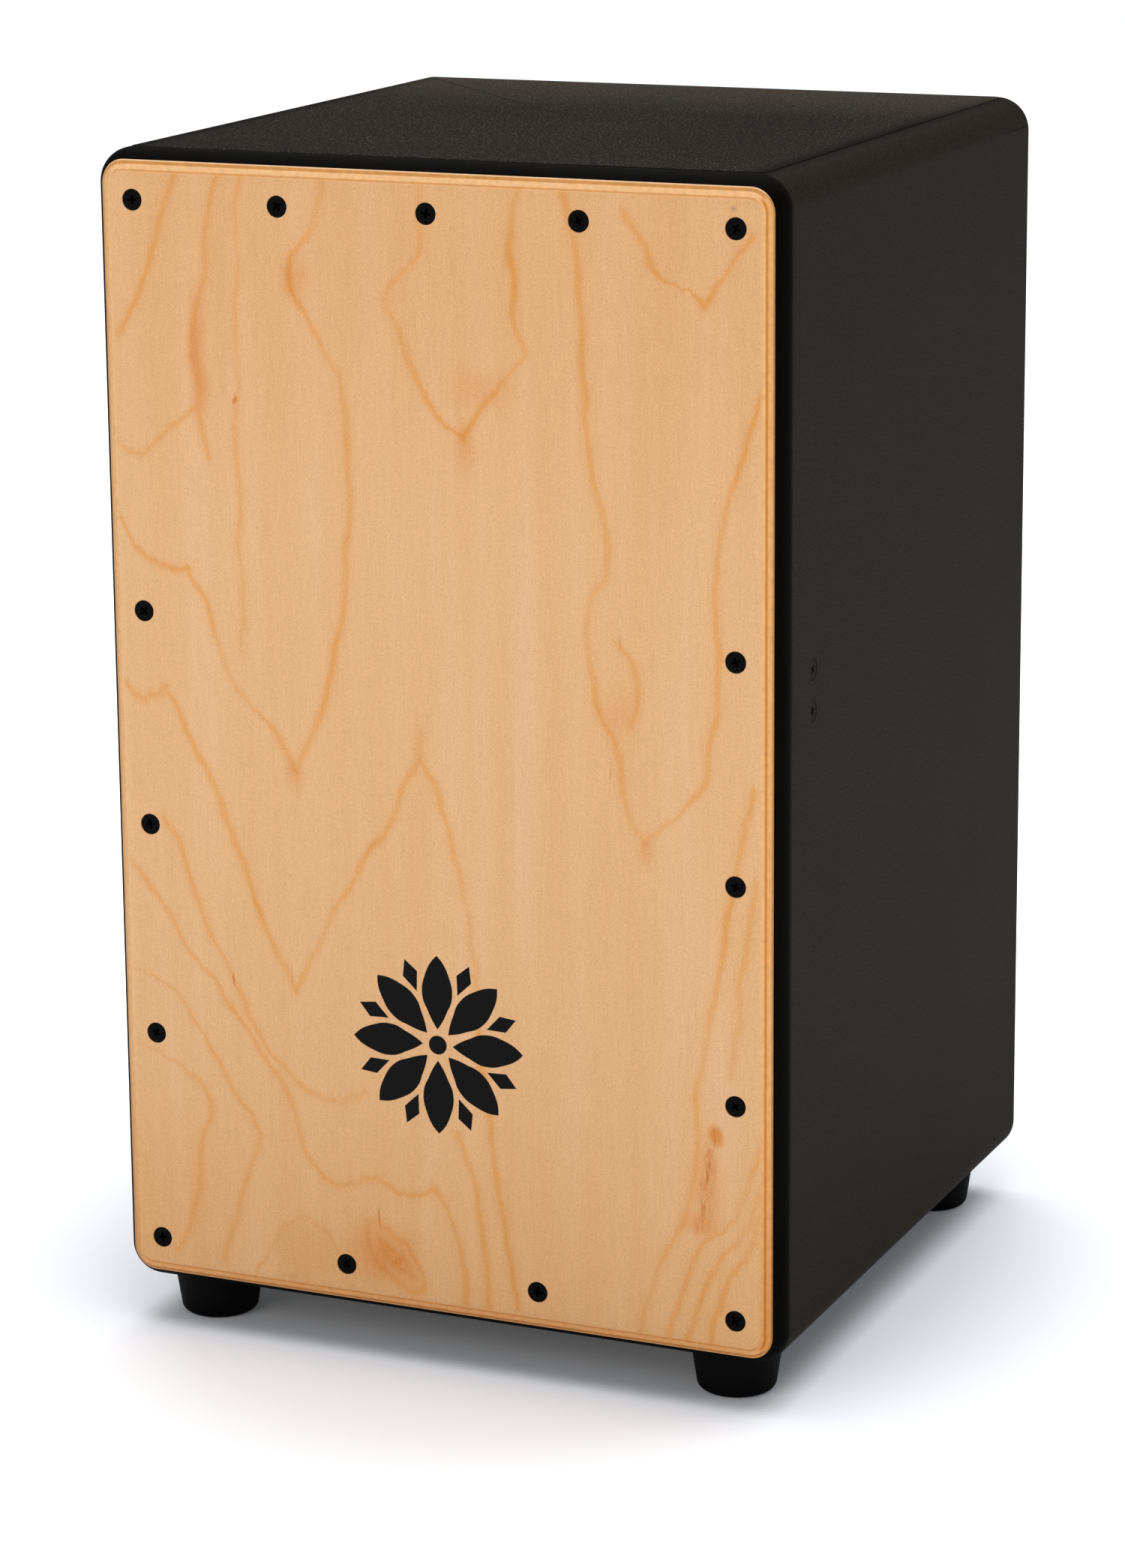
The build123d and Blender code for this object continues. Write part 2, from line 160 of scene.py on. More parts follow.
# ------------------------------------------------------------------ shell boards
# Four 12 mm plywood boards, butt jointed and glued; the top and the bottom lap the ends of
# the sides. The long edges and the front rim are routed round, and the outside is sprayed
# with a fine-textured black paint. The inside is left raw.
MM = 0.001
low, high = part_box("top_panel")
SHELL_TOP, TOP_JOINT = high.z, low.z
SHELL_REAR, SHELL_FRONT = high.y, low.y
low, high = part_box("bottom_panel")
SHELL_BASE, BASE_JOINT = low.z, high.z
low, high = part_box("right_side_panel")
SIDE_X, INNER_X = high.x, low.x
FACE_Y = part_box("tapa")[0].y
LONG_EDGE_R, FRONT_EDGE_R, REAR_EDGE_R = 14 * MM, 12 * MM, 2 * MM
CLOSE = 0.02 * MM


def select_where(piece, test, kind="faces"):
    """In edit mode, selects just the faces or edges that pass a test of their place."""
    bpy.ops.mesh.select_mode(type="FACE" if kind == "faces" else "EDGE")
    bpy.ops.mesh.select_all(action="DESELECT")
    shape = bmesh.from_edit_mesh(piece.data)
    for part in getattr(shape, kind):
        if test(part):
            part.select = True
    shape.select_flush_mode()
    bmesh.update_edit_mesh(piece.data)


def new_box(name, lowest, highest):
    """A cube stretched between two corners, left in edit mode."""
    pick()
    middle = (Vector(lowest) + Vector(highest)) / 2
    bpy.ops.mesh.primitive_cube_add(size=1, location=middle, scale=Vector(highest) - Vector(lowest))
    piece = bpy.context.object
    piece.name = name
    bpy.ops.object.transform_apply()
    bpy.ops.object.mode_set(mode="EDIT")
    return piece


def ease(piece, test, radius, steps):
    """Rounds the edges that pass a test."""
    select_where(piece, test, "edges")
    bpy.ops.mesh.bevel(offset=radius, segments=steps, affect="EDGES")


def all_at(axis, value):
    """A test: every corner of an edge or face lies on one plane."""
    return lambda part: all(abs(v.co[axis] - value) < CLOSE for v in part.verts)


def along(axis):
    """A test: an edge that runs along one axis."""
    def test(edge):
        run = edge.verts[0].co - edge.verts[1].co
        return abs(run[axis]) > run.length - CLOSE
    return test


def finish_mesh(piece, angle=30):
    """Smooths the round parts and keeps the flats flat."""
    bpy.ops.object.mode_set(mode="EDIT")
    bpy.ops.mesh.select_all(action="SELECT")
    bpy.ops.mesh.remove_doubles(threshold=0.001 * MM)
    bpy.ops.mesh.normals_make_consistent()
    bpy.ops.object.mode_set(mode="OBJECT")
    pick(piece)
    bpy.ops.object.shade_smooth_by_angle(angle=radians(angle))
    bpy.ops.object.modifier_add(type="WEIGHTED_NORMAL")
    piece.modifiers[-1].keep_sharp = True
    bpy.ops.object.modifier_apply(modifier=piece.modifiers[-1].name)


def shell_piece(name, *cuts):
    """The whole rounded box, sawn down to one board and left in edit mode.

    Each cut is a point on its plane and the direction of the waste.
    """
    piece = new_box(name, (-SIDE_X, FACE_Y, SHELL_BASE), (SIDE_X, SHELL_REAR, SHELL_TOP))
    ease(piece, along(1), LONG_EDGE_R, 14)
    ease(piece, all_at(1, FACE_Y), FRONT_EDGE_R, 12)
    ease(piece, all_at(1, SHELL_REAR), REAR_EDGE_R, 4)
    for point, waste in cuts:
        bpy.ops.mesh.select_all(action="SELECT")
        bpy.ops.mesh.bisect(plane_co=point, plane_no=waste, use_fill=True, clear_outer=True)
    return piece


# most of a noise's values lie in this span
NOISE_SPAN = {"From Min": 0.3, "From Max": 0.7}

# Fine-textured black lacquer on plywood: an orange-peel surface that stays matte, a little
# deeper and smoother on the routed front rim, where it was brushed on after the spraying.
# The grain is 0.9 mm wide; the real one is about half that, too fine to show.
lacquer, tree, shader, place = material("textured_black_lacquer")
across, depth, up = add(tree, "SeparateXYZ", {"Vector": place}).outputs
peel = add(tree, "TexNoise", {"Vector": place, "Scale": 1100, "Detail": 3, "Roughness": 0.6})
cloud = add(tree, "TexNoise", {"Vector": place, "Scale": 14, "Detail": 4, "Roughness": 0.55})
rim_edge = add(tree, "TexNoise", {"Vector": place, "Scale": 160, "Detail": 3})
wander = {0: rim_edge, 1: 1.6 * MM, 2: FACE_Y + FRONT_EDGE_R - 1.8 * MM}
wander = add(tree, "Math", wander, operation="MULTIPLY_ADD")
from_rim = add(tree, "Math", {0: depth, 1: wander}, operation="SUBTRACT")
body = add(tree, "MapRange", {"Value": from_rim, "From Min": -1.0 * MM, "From Max": 1.5 * MM})
grain = add(tree, "ValToRGB", {"Fac": peel}, [(0.34, "#0e0b07"), (0.68, "#302c23")])
worn = add(tree, "ValToRGB", {"Fac": cloud}, [(0.35, "#1d1913"), (0.65, "#1f1c17")])
field = add(tree, "MixRGB", {0: 0.5, 1: grain, 2: worn})
shade = add(tree, "MixRGB", {0: body, 1: "#040302", 2: field})

# the glue joint under the top board shows through the paint as a hair line, mostly at the rear
off_joint = add(tree, "Math", {0: up, 1: TOP_JOINT}, operation="SUBTRACT")
off_joint = add(tree, "Math", {0: off_joint}, operation="ABSOLUTE")
joint = add(tree, "MapRange", {"Value": off_joint, "From Min": 0.35 * MM, "From Max": 0.1 * MM})
near_rear = {"Value": depth, "From Min": SHELL_REAR - 45 * MM, "From Max": SHELL_REAR - 12 * MM}
joint = add(tree, "Math", {0: joint, 1: add(tree, "MapRange", near_rear)}, operation="MULTIPLY")
shade = add(tree, "MixRGB", {0: joint, 1: shade, 2: "#030303"})

# painted shade: beside the seat sheet's edge the lacquer on the top is darkened, where shade falls
SEAT_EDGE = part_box("seat_grip_sheet")[1].x
beside = add(tree, "Math", {0: across}, operation="ABSOLUTE")
beside = add(tree, "Math", {0: beside, 1: SEAT_EDGE}, operation="SUBTRACT")
crease_shade = add(tree, "MapRange", {"Value": beside, "From Min": 4.5 * MM, "From Max": 0, "To Max": 0.8})
on_top = {"Value": up, "From Min": SHELL_TOP - 2.5 * MM, "From Max": SHELL_TOP - 1 * MM}
crease_shade = add(tree, "Math", {0: crease_shade, 1: add(tree, "MapRange", on_top)}, operation="MULTIPLY")
shade = add(tree, "MixRGB", {0: crease_shade, 1: shade, 2: "#070605"})
rough = {"Value": cloud, **NOISE_SPAN, "To Min": 0.66, "To Max": 0.7}
bump = add(tree, "Bump", {"Strength": 0.5, "Distance": 0.12 * MM, "Height": peel})
feed(tree, shader, {"Base Color": shade, "Roughness": add(tree, "MapRange", rough)})
feed(tree, shader, {"Normal": bump, "Specular IOR Level": 0.025})

# Raw rotary-cut birch, sanded and unfinished: pale, with soft stripes along its fibres. The
# black paint of the outside has gone over its rear lip.
raw_ply, tree, shader, place = material("raw_birch_plywood")
stretch = add(tree, "Mapping", {"Vector": place, "Scale": (60, 60, 4)})
stripes = add(tree, "TexNoise", {"Vector": stretch, "Scale": 1.0, "Detail": 4, "Roughness": 0.6})
wood = add(tree, "ValToRGB", {"Fac": stripes}, [(0.3, "#b98a58"), (0.7, "#d8b283")])
depth = add(tree, "SeparateXYZ", {"Vector": place}).outputs[1]
lip = {"Value": depth, "From Min": SHELL_REAR - 1.6 * MM, "From Max": SHELL_REAR - 1.3 * MM}
overspray = add(tree, "MixRGB", {0: add(tree, "MapRange", lip), 1: wood, 2: "#0d0b09"})
fuzz = add(tree, "TexNoise", {"Vector": stretch, "Scale": 12.0})
bump = add(tree, "Bump", {"Strength": 0.3, "Distance": 0.2 * MM, "Height": fuzz})
feed(tree, shader, {"Base Color": overspray, "Normal": bump, "Roughness": 0.75})

BEHIND_FACE = ((0, SHELL_FRONT, 0), (0, -1, 0))
INTO_DRUM_DOWN = ((0, 0, TOP_JOINT), (0, 0, -1))
INTO_DRUM_UP = ((0, 0, BASE_JOINT), (0, 0, 1))
UNDER_TOP = ((0, 0, TOP_JOINT), (0, 0, 1))
ABOVE_BASE = ((0, 0, BASE_JOINT), (0, 0, -1))
PAINTED, RAW = 0, 1


def leave_raw(piece, finish, *planes):
    """Gives a board its finish, and leaves its faces on the given planes raw."""
    paint_slots(piece, finish, raw_ply)
    spots = piece.data.vertices
    for face in piece.data.polygons:
        raw = any(all(abs(spots[v].co[a] - at) < CLOSE for v in face.vertices) for a, at in planes)
        face.material_index = RAW if raw else PAINTED


def hand_in(piece, slot, *nodes):
    """Says which CAD nodes a finished piece stands for, and hides them; its slot is not used."""
    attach(piece, "root")
    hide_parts(*nodes)


BOARDS = {
    "top_panel": ([INTO_DRUM_DOWN], (2, TOP_JOINT)),
    "bottom_panel": ([INTO_DRUM_UP], (2, BASE_JOINT)),
}
for side, name in ((-1, "left_side_panel"), (1, "right_side_panel")):
    inner = ((side * INNER_X, 0, 0), (-side, 0, 0))
    BOARDS[name] = ([inner, UNDER_TOP, ABOVE_BASE], (0, side * INNER_X))

for name, (cuts, inner_plane) in BOARDS.items():
    board = shell_piece("shell_" + name, BEHIND_FACE, *cuts)
    finish_mesh(board)
    leave_raw(board, lacquer, inner_plane)
    hand_in(board, "black_shell_paint", name)


# ------------------------------------------------------------------ frame of battens
# Sawn spruce battens glued round the front and the back of the shell, strips in its long
# corners, and a rail across it for the snares. They are the CAD's own solids. Nobody sees
# them but through the sound hole, so they are left rough from the saw.
spruce, tree, shader, place = material("sawn_spruce")
rings = add(tree, "TexNoise", {"Vector": place, "Scale": 260, "Detail": 3, "Distortion": 0.6})
wood = add(tree, "ValToRGB", {"Fac": rings}, [(0.3, "#c79a63"), (0.62, "#e3c493")])
saw = {"Vector": place, "Scale": 120, "Distortion": 3}
saw = add(tree, "TexWave", saw, bands_direction="DIAGONAL")
marks = add(tree, "Bump", {"Strength": 0.3, "Distance": 0.3 * MM, "Height": saw})
feed(tree, shader, {"Base Color": wood, "Normal": marks})
feed(tree, shader, {"Roughness": 0.8, "Specular IOR Level": 0.3})


def finish_nodes(finish, *names):
    """Gives CAD nodes that are shown as they are their material."""
    for name in names:
        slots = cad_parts[name].data.materials
        for i in range(len(slots)):
            slots[i] = finish


SIDES = ("top", "bottom", "left", "right")
finish_nodes(spruce, *[f"{end}_batten_{side}" for end in ("front", "rear") for side in SIDES])
finish_nodes(spruce, *[f"corner_strip_{v}_{h}" for v in ("top", "bottom") for h in ("left", "right")])
finish_nodes(spruce, "snare_rail")


# ------------------------------------------------------------------ front plate (tapa)
# A 3 mm birch plate of thin veneers, screwed on all round and routed over together with the
# shell, so its edge shows the plies as bands: the veneers that lie along the edge are light
# and those that end at it are brown. A black rosette is screen-printed on it.
MIDDLE_Z = (SHELL_TOP + SHELL_BASE) / 2

# Rotary-cut birch under a clear satin varnish: the knife followed the growth rings, so they
# come out as long tongues and peaks.
veneer, tree, shader, place = material("rotary_cut_birch_veneer")

# fine upright fibres, 0.55 mm wide, broad bands where the knife ran, and small flecks
fibre_place = add(tree, "Mapping", {"Vector": place, "Scale": (1800, 1800, 70)})
fibre = add(tree, "TexNoise", {"Vector": fibre_place, "Scale": 1.0, "Detail": 3, "Roughness": 0.65})
band_place = add(tree, "Mapping", {"Vector": place, "Scale": (75, 75, 4)})
bands = add(tree, "TexNoise", {"Vector": band_place, "Scale": 1.0, "Detail": 3, "Roughness": 0.55})
fleck = add(tree, "TexNoise", {"Vector": place, "Scale": 1800})

# the place on the face in mm, pushed about a little so that each ring wanders and feathers
flat = add(tree, "Mapping", {"Vector": place, "Scale": (1000, 0, 1000)})
sway = add(tree, "TexNoise", {"Vector": place, "Scale": 45, "Detail": 3})
sway = {0: sway.outputs["Color"], 1: (7, 0, 9), 2: (-3.5, 0, -4.5)}
wander = add(tree, "VectorMath", sway, operation="MULTIPLY_ADD")
teeth_place = add(tree, "Mapping", {"Vector": place, "Scale": (420, 420, 24)})
teeth = add(tree, "TexNoise", {"Vector": teeth_place, "Scale": 1.0})
jag = add(tree, "Math", {0: teeth, 1: 5, 2: -2.5}, operation="MULTIPLY_ADD")
jag_up = add(tree, "CombineXYZ", {2: jag})
swayed = add(tree, "VectorMath", {0: flat, 1: wander})
spot = add(tree, "VectorMath", {0: swayed, 1: jag_up})
spot_split = add(tree, "SeparateXYZ", {"Vector": spot})

# Each ring line by its turning points. One that runs "up" gives an x for each height, and one
# that runs "across" a height for each x, in mm; the last figure of a line is how faint it is.
UP, ACROSS = 2, 0
RING_LINES = {
    "tongue, left": (UP, [
        (391, 16), (397, 6), (410, -3), (432, -13), (449, -17), (461, -5), (478, -4), (498, 0),
    ], 0),
    "tongue, right": (UP, [
        (391, 16), (406, 24), (418, 33), (425, 41), (437, 38), (455, 38), (471, 35), (498, 42),
    ], 0),
    "long tongue, left": (UP, [(250, -63), (268, -72), (282, -88), (309, -99), (332, -109)], 0),
    "long tongue, shoulder": (ACROSS, [(-140, 350), (-132, 337), (-119, 331), (-108, 332)], 0.2),
    "long tongue, right": (UP, [
        (250, -63), (270, -53), (301, -43), (338, -38), (375, -36), (411, -39), (434, -51),
        (457, -60), (476, -48), (498, -46),
    ], 0.4),
    "valley, left": (UP, [(156, -64), (189, -80), (227, -95), (262, -111), (279, -122)], 0.3),
    "valley, shoulder": (ACROSS, [(-140, 279), (-131, 273), (-121, 279)], 0.3),
    "valley, right": (UP, [(156, -64), (187, -48), (211, -34), (228, -23), (246, -14), (259, -6)], 0),
    "peak, right": (UP, [
        (30, 34), (68, 29), (100, 24), (138, 19), (194, 14), (220, 8), (246, 2), (259, -6),
    ], 0.4),
    "under the print": (UP, [(30, 20), (54, 20), (83, 16), (103, 8)], 0.9),
    "right tongue, left": (UP, [
        (236, 92), (248, 85), (272, 79), (295, 70), (328, 68), (344, 76), (362, 75), (382, 70),
        (423, 66), (452, 65), (498, 58),
    ], 0.3),
    "right tongue, right": (UP, [
        (236, 92), (244, 101), (254, 112), (278, 120), (300, 123), (332, 121), (362, 124),
        (389, 133), (425, 142),
    ], 0.5),
    "inner tongue": (UP, [(281, 86), (294, 89), (308, 86), (316, 78)], 1.0),
    "corner tongue, left": (UP, [(450, 117), (456, 110), (459, 101), (470, 93), (486, 84)], 0.4),
    "corner tongue, right": (UP, [(450, 117), (465, 127), (478, 137)], 0.6),
    "right edge": (UP, [
        (30, 89), (55, 95), (79, 107), (102, 112), (143, 115), (175, 121), (211, 127), (258, 138),
    ], 0.5),
    "right edge, outer": (UP, [(141, 129), (168, 131), (185, 133), (202, 135), (222, 138)], 1.1),
    "upper left, outer": (UP, [(425, -138), (449, -126), (470, -118), (492, -111)], 0.6),
    "upper left, inner": (UP, [
        (377, -99), (404, -103), (435, -104), (447, -99), (471, -97), (498, -90),
    ], 0.7),
    "upper left, hill": (ACROSS, [(-142, 382), (-130, 376), (-118, 386), (-104, 397)], 0.4),
    "upper left, straight": (UP, [(297, -85), (356, -85), (402, -85), (448, -84), (496, -82)], 1.1),
    "lower left, first": (UP, [
        (116, -65), (131, -78), (158, -93), (181, -105), (211, -115), (226, -124),
    ], 1.0),
    "lower left, first foot": (ACROSS, [(-66, 117), (-58, 112), (-49, 111), (-33, 117)], 0.8),
    "lower left, second": (UP, [
        (76, -52), (84, -60), (106, -67), (126, -79), (150, -97), (170, -116), (190, -128),
        (204, -142),
    ], 0.8),
    "lower left, waves": (ACROSS, [(-52, 76), (-45, 74), (-29, 79), (-14, 74), (-3, 78)], 0.6),
    "lower left, fall": (UP, [(30, 11), (45, 10), (63, 6), (79, -3)], 0.7),
    "lower left, third": (UP, [
        (34, -101), (70, -89), (84, -84), (93, -83), (108, -93), (132, -108), (151, -124),
        (158, -142),
    ], 1.0),
    "lower left, fourth": (UP, [
        (34, -122), (59, -113), (86, -109), (103, -105), (119, -122), (126, -142),
    ], 1.2),
    "low hill": (ACROSS, [(-86, 28), (-74, 50), (-65, 58), (-54, 55), (-46, 44), (-42, 30)], 1.0),
    "lower right, inner": (UP, [(30, 101), (54, 109), (71, 117), (80, 127), (99, 136), (122, 144)], 0.3),
    "lower right, middle": (UP, [(26, 109), (50, 117), (66, 126), (76, 133), (96, 141), (112, 146)], 0.6),
    "lower right, outer": (UP, [(26, 119), (53, 126), (65, 134), (83, 140), (96, 146)], 0.3),
}
# a curve's full height stands for REACH mm, from LOWEST upwards
REACH, LOWEST = 640, -145
FAR_AWAY = 50.0
ring_distance = FAR_AWAY


def shape_curve(course, points, straight=False):
    """Takes the curve of a node through points, from left to right, smoothly or in straight runs."""
    bend = course.mapping.curves[0].points
    bend[0].location = points[0]
    bend[1].location = points[-1]
    for point in points[1:-1]:
        bend.new(*point)
    if straight:
        for point in bend:
            point.handle_type = "VECTOR"
    course.mapping.update()


for run, corners, faintness in RING_LINES.values():
    first, last = corners[0][0], corners[-1][0]
    step = add(tree, "MapRange", {"Value": spot_split.outputs[run], "From Min": first, "From Max": last})
    course = add(tree, "FloatCurve", {"Value": step})
    shape_curve(course, [((at - first) / (last - first), (off - LOWEST) / REACH) for at, off in corners])
    off_run = ACROSS if run == UP else UP
    on_line = add(tree, "CombineXYZ", {run: step, off_run: course})
    sizes, start = [0, 0, 0], [0, faintness, 0]
    sizes[run], sizes[off_run] = last - first, REACH
    start[run], start[off_run] = first, LOWEST
    in_place = add(tree, "Mapping", {"Vector": on_line, "Scale": sizes, "Location": start})
    away = add(tree, "VectorMath", {0: spot, 1: in_place}, operation="DISTANCE").outputs["Value"]
    ring_distance = add(tree, "Math", {0: ring_distance, 1: away}, operation="MINIMUM")

# an oval knot low down, drawn as two rings, one inside the other: each by its middle and its
# half width and height, in mm, and its lean in degrees
KNOTS = {
    "oval knot": ((-21, 46), (18, 8), 47),
    "inside the oval": ((-20, 45), (9, 2.5), 47),
}
KNOT_FAINTNESS = 0.5


def from_middle(centre, half, lean=0):
    """How far a spot is from the middle of an oval: 0 there and 1 on its outline."""
    (x, z), (wide, tall), turn = centre, half, (0, radians(lean), 0)
    oval = {"Vector": spot, "Location": (x, 0, z), "Rotation": turn, "Scale": (wide, 1, tall)}
    oval = add(tree, "Mapping", oval, vector_type="TEXTURE")
    return add(tree, "VectorMath", {0: oval}, operation="LENGTH").outputs["Value"]


for centre, half, lean in KNOTS.values():
    from_oval = add(tree, "Math", {0: from_middle(centre, half, lean), 1: 1.0}, operation="SUBTRACT")
    from_oval = add(tree, "Math", {0: from_oval}, operation="ABSOLUTE")
    in_mm = {0: from_oval, 1: half[1], 2: KNOT_FAINTNESS}
    in_mm = add(tree, "Math", in_mm, operation="MULTIPLY_ADD")
    ring_distance = add(tree, "Math", {0: ring_distance, 1: in_mm}, operation="MINIMUM")

# brown smears where the knife cut across the grain, and short dark ticks: each by the middle
# and the half width and height of its oval, in mm, and how strong it is
SMEARS = {
    "below the tongue": ((16, 388), (9, 17), 0.5),
    "in the tongue": ((22, 412), (22, 15), 0.32),
    "upper left": ((-102, 418), (7, 40), 0.75),
    "below the long tongue": ((-63, 248), (6, 12), 0.4),
    "above the peak": ((-6, 266), (5, 14), 0.35),
    "below the right tongue": ((92, 233), (6, 13), 0.45),
    "inside the right tongue": ((80, 285), (12, 22), 0.28),
    "shoulder of the long line": ((-57, 452), (11, 13), 0.4),
    "lower left corner": ((-118, 60), (42, 60), 0.14),
    "in the low hill": ((-60, 42), (27, 24), 0.3),
    "round the oval knot": ((-26, 46), (26, 20), 0.75),
    "resin spot by the bark": ((121, 116), (5, 7), 1.5),
    "round the bark": ((118, 96), (9, 28), 0.55),
    "below the bark": ((116, 80), (12, 9), 0.7),
    "middle of the oval knot": ((-20, 45), (6, 5), 1.2),
}
TICKS = {
    "pin knot": ((-86, 402), (1.6, 2.6), 0.9),
    "over the oval knot": ((-28, 63), (0.8, 7), 0.8),
    "on the left": ((-93, 157), (0.8, 3.5), 0.9),
    "in the right tongue": ((81, 315), (0.7, 5), 0.5),
    "beside it": ((77, 262), (0.7, 5), 0.4),
}


def patches(ovals):
    """How deep a spot lies in the deepest of several soft ovals."""
    deepest = 0.0
    for centre, half, weight in ovals.values():
        fall = {"Value": from_middle(centre, half), "From Min": 1.0, "From Max": 0.0, "To Max": weight}
        fall = add(tree, "MapRange", fall, interpolation_type="SMOOTHSTEP")
        deepest = add(tree, "Math", {0: deepest, 1: fall}, operation="MAXIMUM")
    return deepest


smear = patches(SMEARS)
ticks = patches(TICKS)

# bark streak: grains of dark cork within a narrow upright oval
streak = {"Value": from_middle((118, 97), (4.5, 27), 8), "From Min": 1.0, "From Max": 0.2}
streak = add(tree, "MapRange", streak)
cork_place = add(tree, "Mapping", {"Vector": place, "Scale": (600, 600, 130)})
cork = add(tree, "TexNoise", {"Vector": cork_place, "Scale": 1.0, "Detail": 3, "Roughness": 0.7})
cork_grains = add(tree, "MapRange", {"Value": cork, "From Min": 0.44, "From Max": 0.68})
streak = add(tree, "Math", {0: streak, 1: cork_grains}, operation="MULTIPLY")
streak = add(tree, "Math", {0: streak, 1: ticks}, operation="MAXIMUM")

# each line is dark within two millimetres, with a soft warm border, and uneven along its length
core = {"Value": ring_distance, "From Min": 2.2, "From Max": 0.3, "To Max": 0.7}
core = add(tree, "MapRange", core, interpolation_type="SMOOTHSTEP")
border = {"Value": ring_distance, "From Min": 5.0, "From Max": 0.5, "To Max": 0.4}
border = add(tree, "MapRange", border, interpolation_type="SMOOTHSTEP")
ring = add(tree, "Math", {0: core, 1: border})
uneven = add(tree, "TexNoise", {"Vector": place, "Scale": 22})
vigour = {"Value": uneven, "From Min": 0.35, "From Max": 0.65, "To Min": 0.35, "To Max": 0.75}
ring = add(tree, "Math", {0: ring, 1: add(tree, "MapRange", vigour)}, operation="MULTIPLY")

# the veneer's own tone is deepened in turn by its fibres, flecks, rings, smears and bark, and
# painted shade browns it towards the foot of the plate; it is a little yellower at its top
KNIFE_BANDS = [(0.32, "#d9a978"), (0.5, "#dbac7d"), (0.7, "#deb085")]
wood = add(tree, "ValToRGB", {"Fac": bands}, KNIFE_BANDS)
fibres = add(tree, "ValToRGB", {"Fac": fibre}, [(0.3, "#f7f7f7"), (0.65, "#ffffff")])
flecks = add(tree, "ValToRGB", {"Fac": fleck}, [(0.34, "#eeedea"), (0.62, "#ffffff")])
height = spot_split.outputs[UP]
low_painted_shade = {"Value": height, "From Min": 150, "From Max": 20}
low_painted_shade = add(tree, "MapRange", low_painted_shade, interpolation_type="SMOOTHSTEP")
high_up = {"Value": height, "From Min": 330, "From Max": 470}
high_up = add(tree, "MapRange", high_up, interpolation_type="SMOOTHSTEP")
TINTS = [(1.0, fibres), (1.0, flecks), (low_painted_shade, "#fffaf0"), (high_up, "#fbf6ee")]
TINTS += [(ring, "#f9dc98"), (smear, "#f4cf94"), (streak, "#e2a85e")]
for share, tint in TINTS:
    wood = add(tree, "MixRGB", {0: share, 1: wood, 2: tint}, blend_type="MULTIPLY")

# a thumb's smudge above the last screw of the top row
smudge = from_middle((129, 487), (1.4, 1.3))
smudge = {"Value": smudge, "From Min": 1.2, "From Max": 0.3, "To Max": 0.6}
wood = add(tree, "MixRGB", {0: add(tree, "MapRange", smudge), 1: wood, 2: "#94765a"})

# Printed rosette, 75 mm across: eight leaves with small kites between them round a dot.
PRINT_Z = SHELL_BASE + 120.5 * MM
LEAVES = 8
SECTOR = 2 * pi / LEAVES
from_print = add(tree, "VectorMath", {0: flat, 1: (0, 0, PRINT_Z / MM)}, operation="SUBTRACT")
radius = add(tree, "VectorMath", {0: from_print}, operation="LENGTH").outputs["Value"]
print_split = add(tree, "SeparateXYZ", {"Vector": from_print})
angle = {0: print_split.outputs[UP], 1: print_split.outputs[ACROSS]}
angle = add(tree, "Math", angle, operation="ARCTAN2")
ink = add(tree, "MapRange", {"Value": radius, "From Min": 4.1, "From Max": 3.9})
# each kind of ray by its turn, in sectors, whether its sides are straight, and its half width
# at each distance from the middle, in mm; a curve's full height stands for WIDEST mm
WIDEST = 10.0
RAYS = {
    "leaves": (0.0, False, [(6.5, 0), (14, 4.3), (22, 6.9), (29, 5.6), (38, 0)]),
    "kites": (0.5, True, [(23.5, 0), (31.5, 3.6), (38, 0)]),
}
for offset, straight, half_widths in RAYS.values():
    middle = offset * SECTOR
    turn = {0: angle, 1: middle - SECTOR / 2, 2: middle + SECTOR / 2}
    turn = add(tree, "Math", turn, operation="WRAP")
    turn = add(tree, "Math", {0: turn, 1: middle}, operation="SUBTRACT")
    sine = add(tree, "Math", {0: turn}, operation="SINE")
    cosine = add(tree, "Math", {0: turn}, operation="COSINE")
    across = add(tree, "Math", {0: radius, 1: sine}, operation="MULTIPLY")
    across = add(tree, "Math", {0: across}, operation="ABSOLUTE")
    outward = add(tree, "Math", {0: radius, 1: cosine}, operation="MULTIPLY")
    first, last = half_widths[0][0], half_widths[-1][0]
    step = add(tree, "MapRange", {"Value": outward, "From Min": first, "From Max": last})
    leaf = add(tree, "FloatCurve", {"Value": step})
    outline = [((at - first) / (last - first), half / WIDEST) for at, half in half_widths]
    shape_curve(leaf, outline, straight)
    inside = add(tree, "Math", {0: leaf, 1: WIDEST}, operation="MULTIPLY")
    inside = add(tree, "Math", {0: inside, 1: across}, operation="SUBTRACT")
    filled = add(tree, "MapRange", {"Value": inside, "From Min": 0.02, "From Max": 0.18})
    ink = add(tree, "Math", {0: ink, 1: filled}, operation="MAXIMUM")
wood = add(tree, "MixRGB", {0: ink, 1: wood, 2: "#030303"})

# the plies on the routed edge, by their depth behind the face
across, back, up = add(tree, "SeparateXYZ", {"Vector": place}).outputs
depth = add(tree, "MapRange", {"Value": back, "From Min": FACE_Y, "From Max": SHELL_FRONT})
side_reach = add(tree, "Math", {0: across}, operation="ABSOLUTE")
side_reach = add(tree, "Math", {0: side_reach, 1: SIDE_X}, operation="SUBTRACT")
end_reach = add(tree, "Math", {0: up, 1: MIDDLE_Z}, operation="SUBTRACT")
end_reach = add(tree, "Math", {0: end_reach}, operation="ABSOLUTE")
end_reach = add(tree, "Math", {0: end_reach, 1: SHELL_TOP - MIDDLE_Z}, operation="SUBTRACT")
which = add(tree, "Math", {0: side_reach, 1: end_reach}, operation="SUBTRACT")
on_side = add(tree, "MapRange", {"Value": which, "From Min": -2 * MM, "From Max": 2 * MM})
PLY_BLUR = 0.02


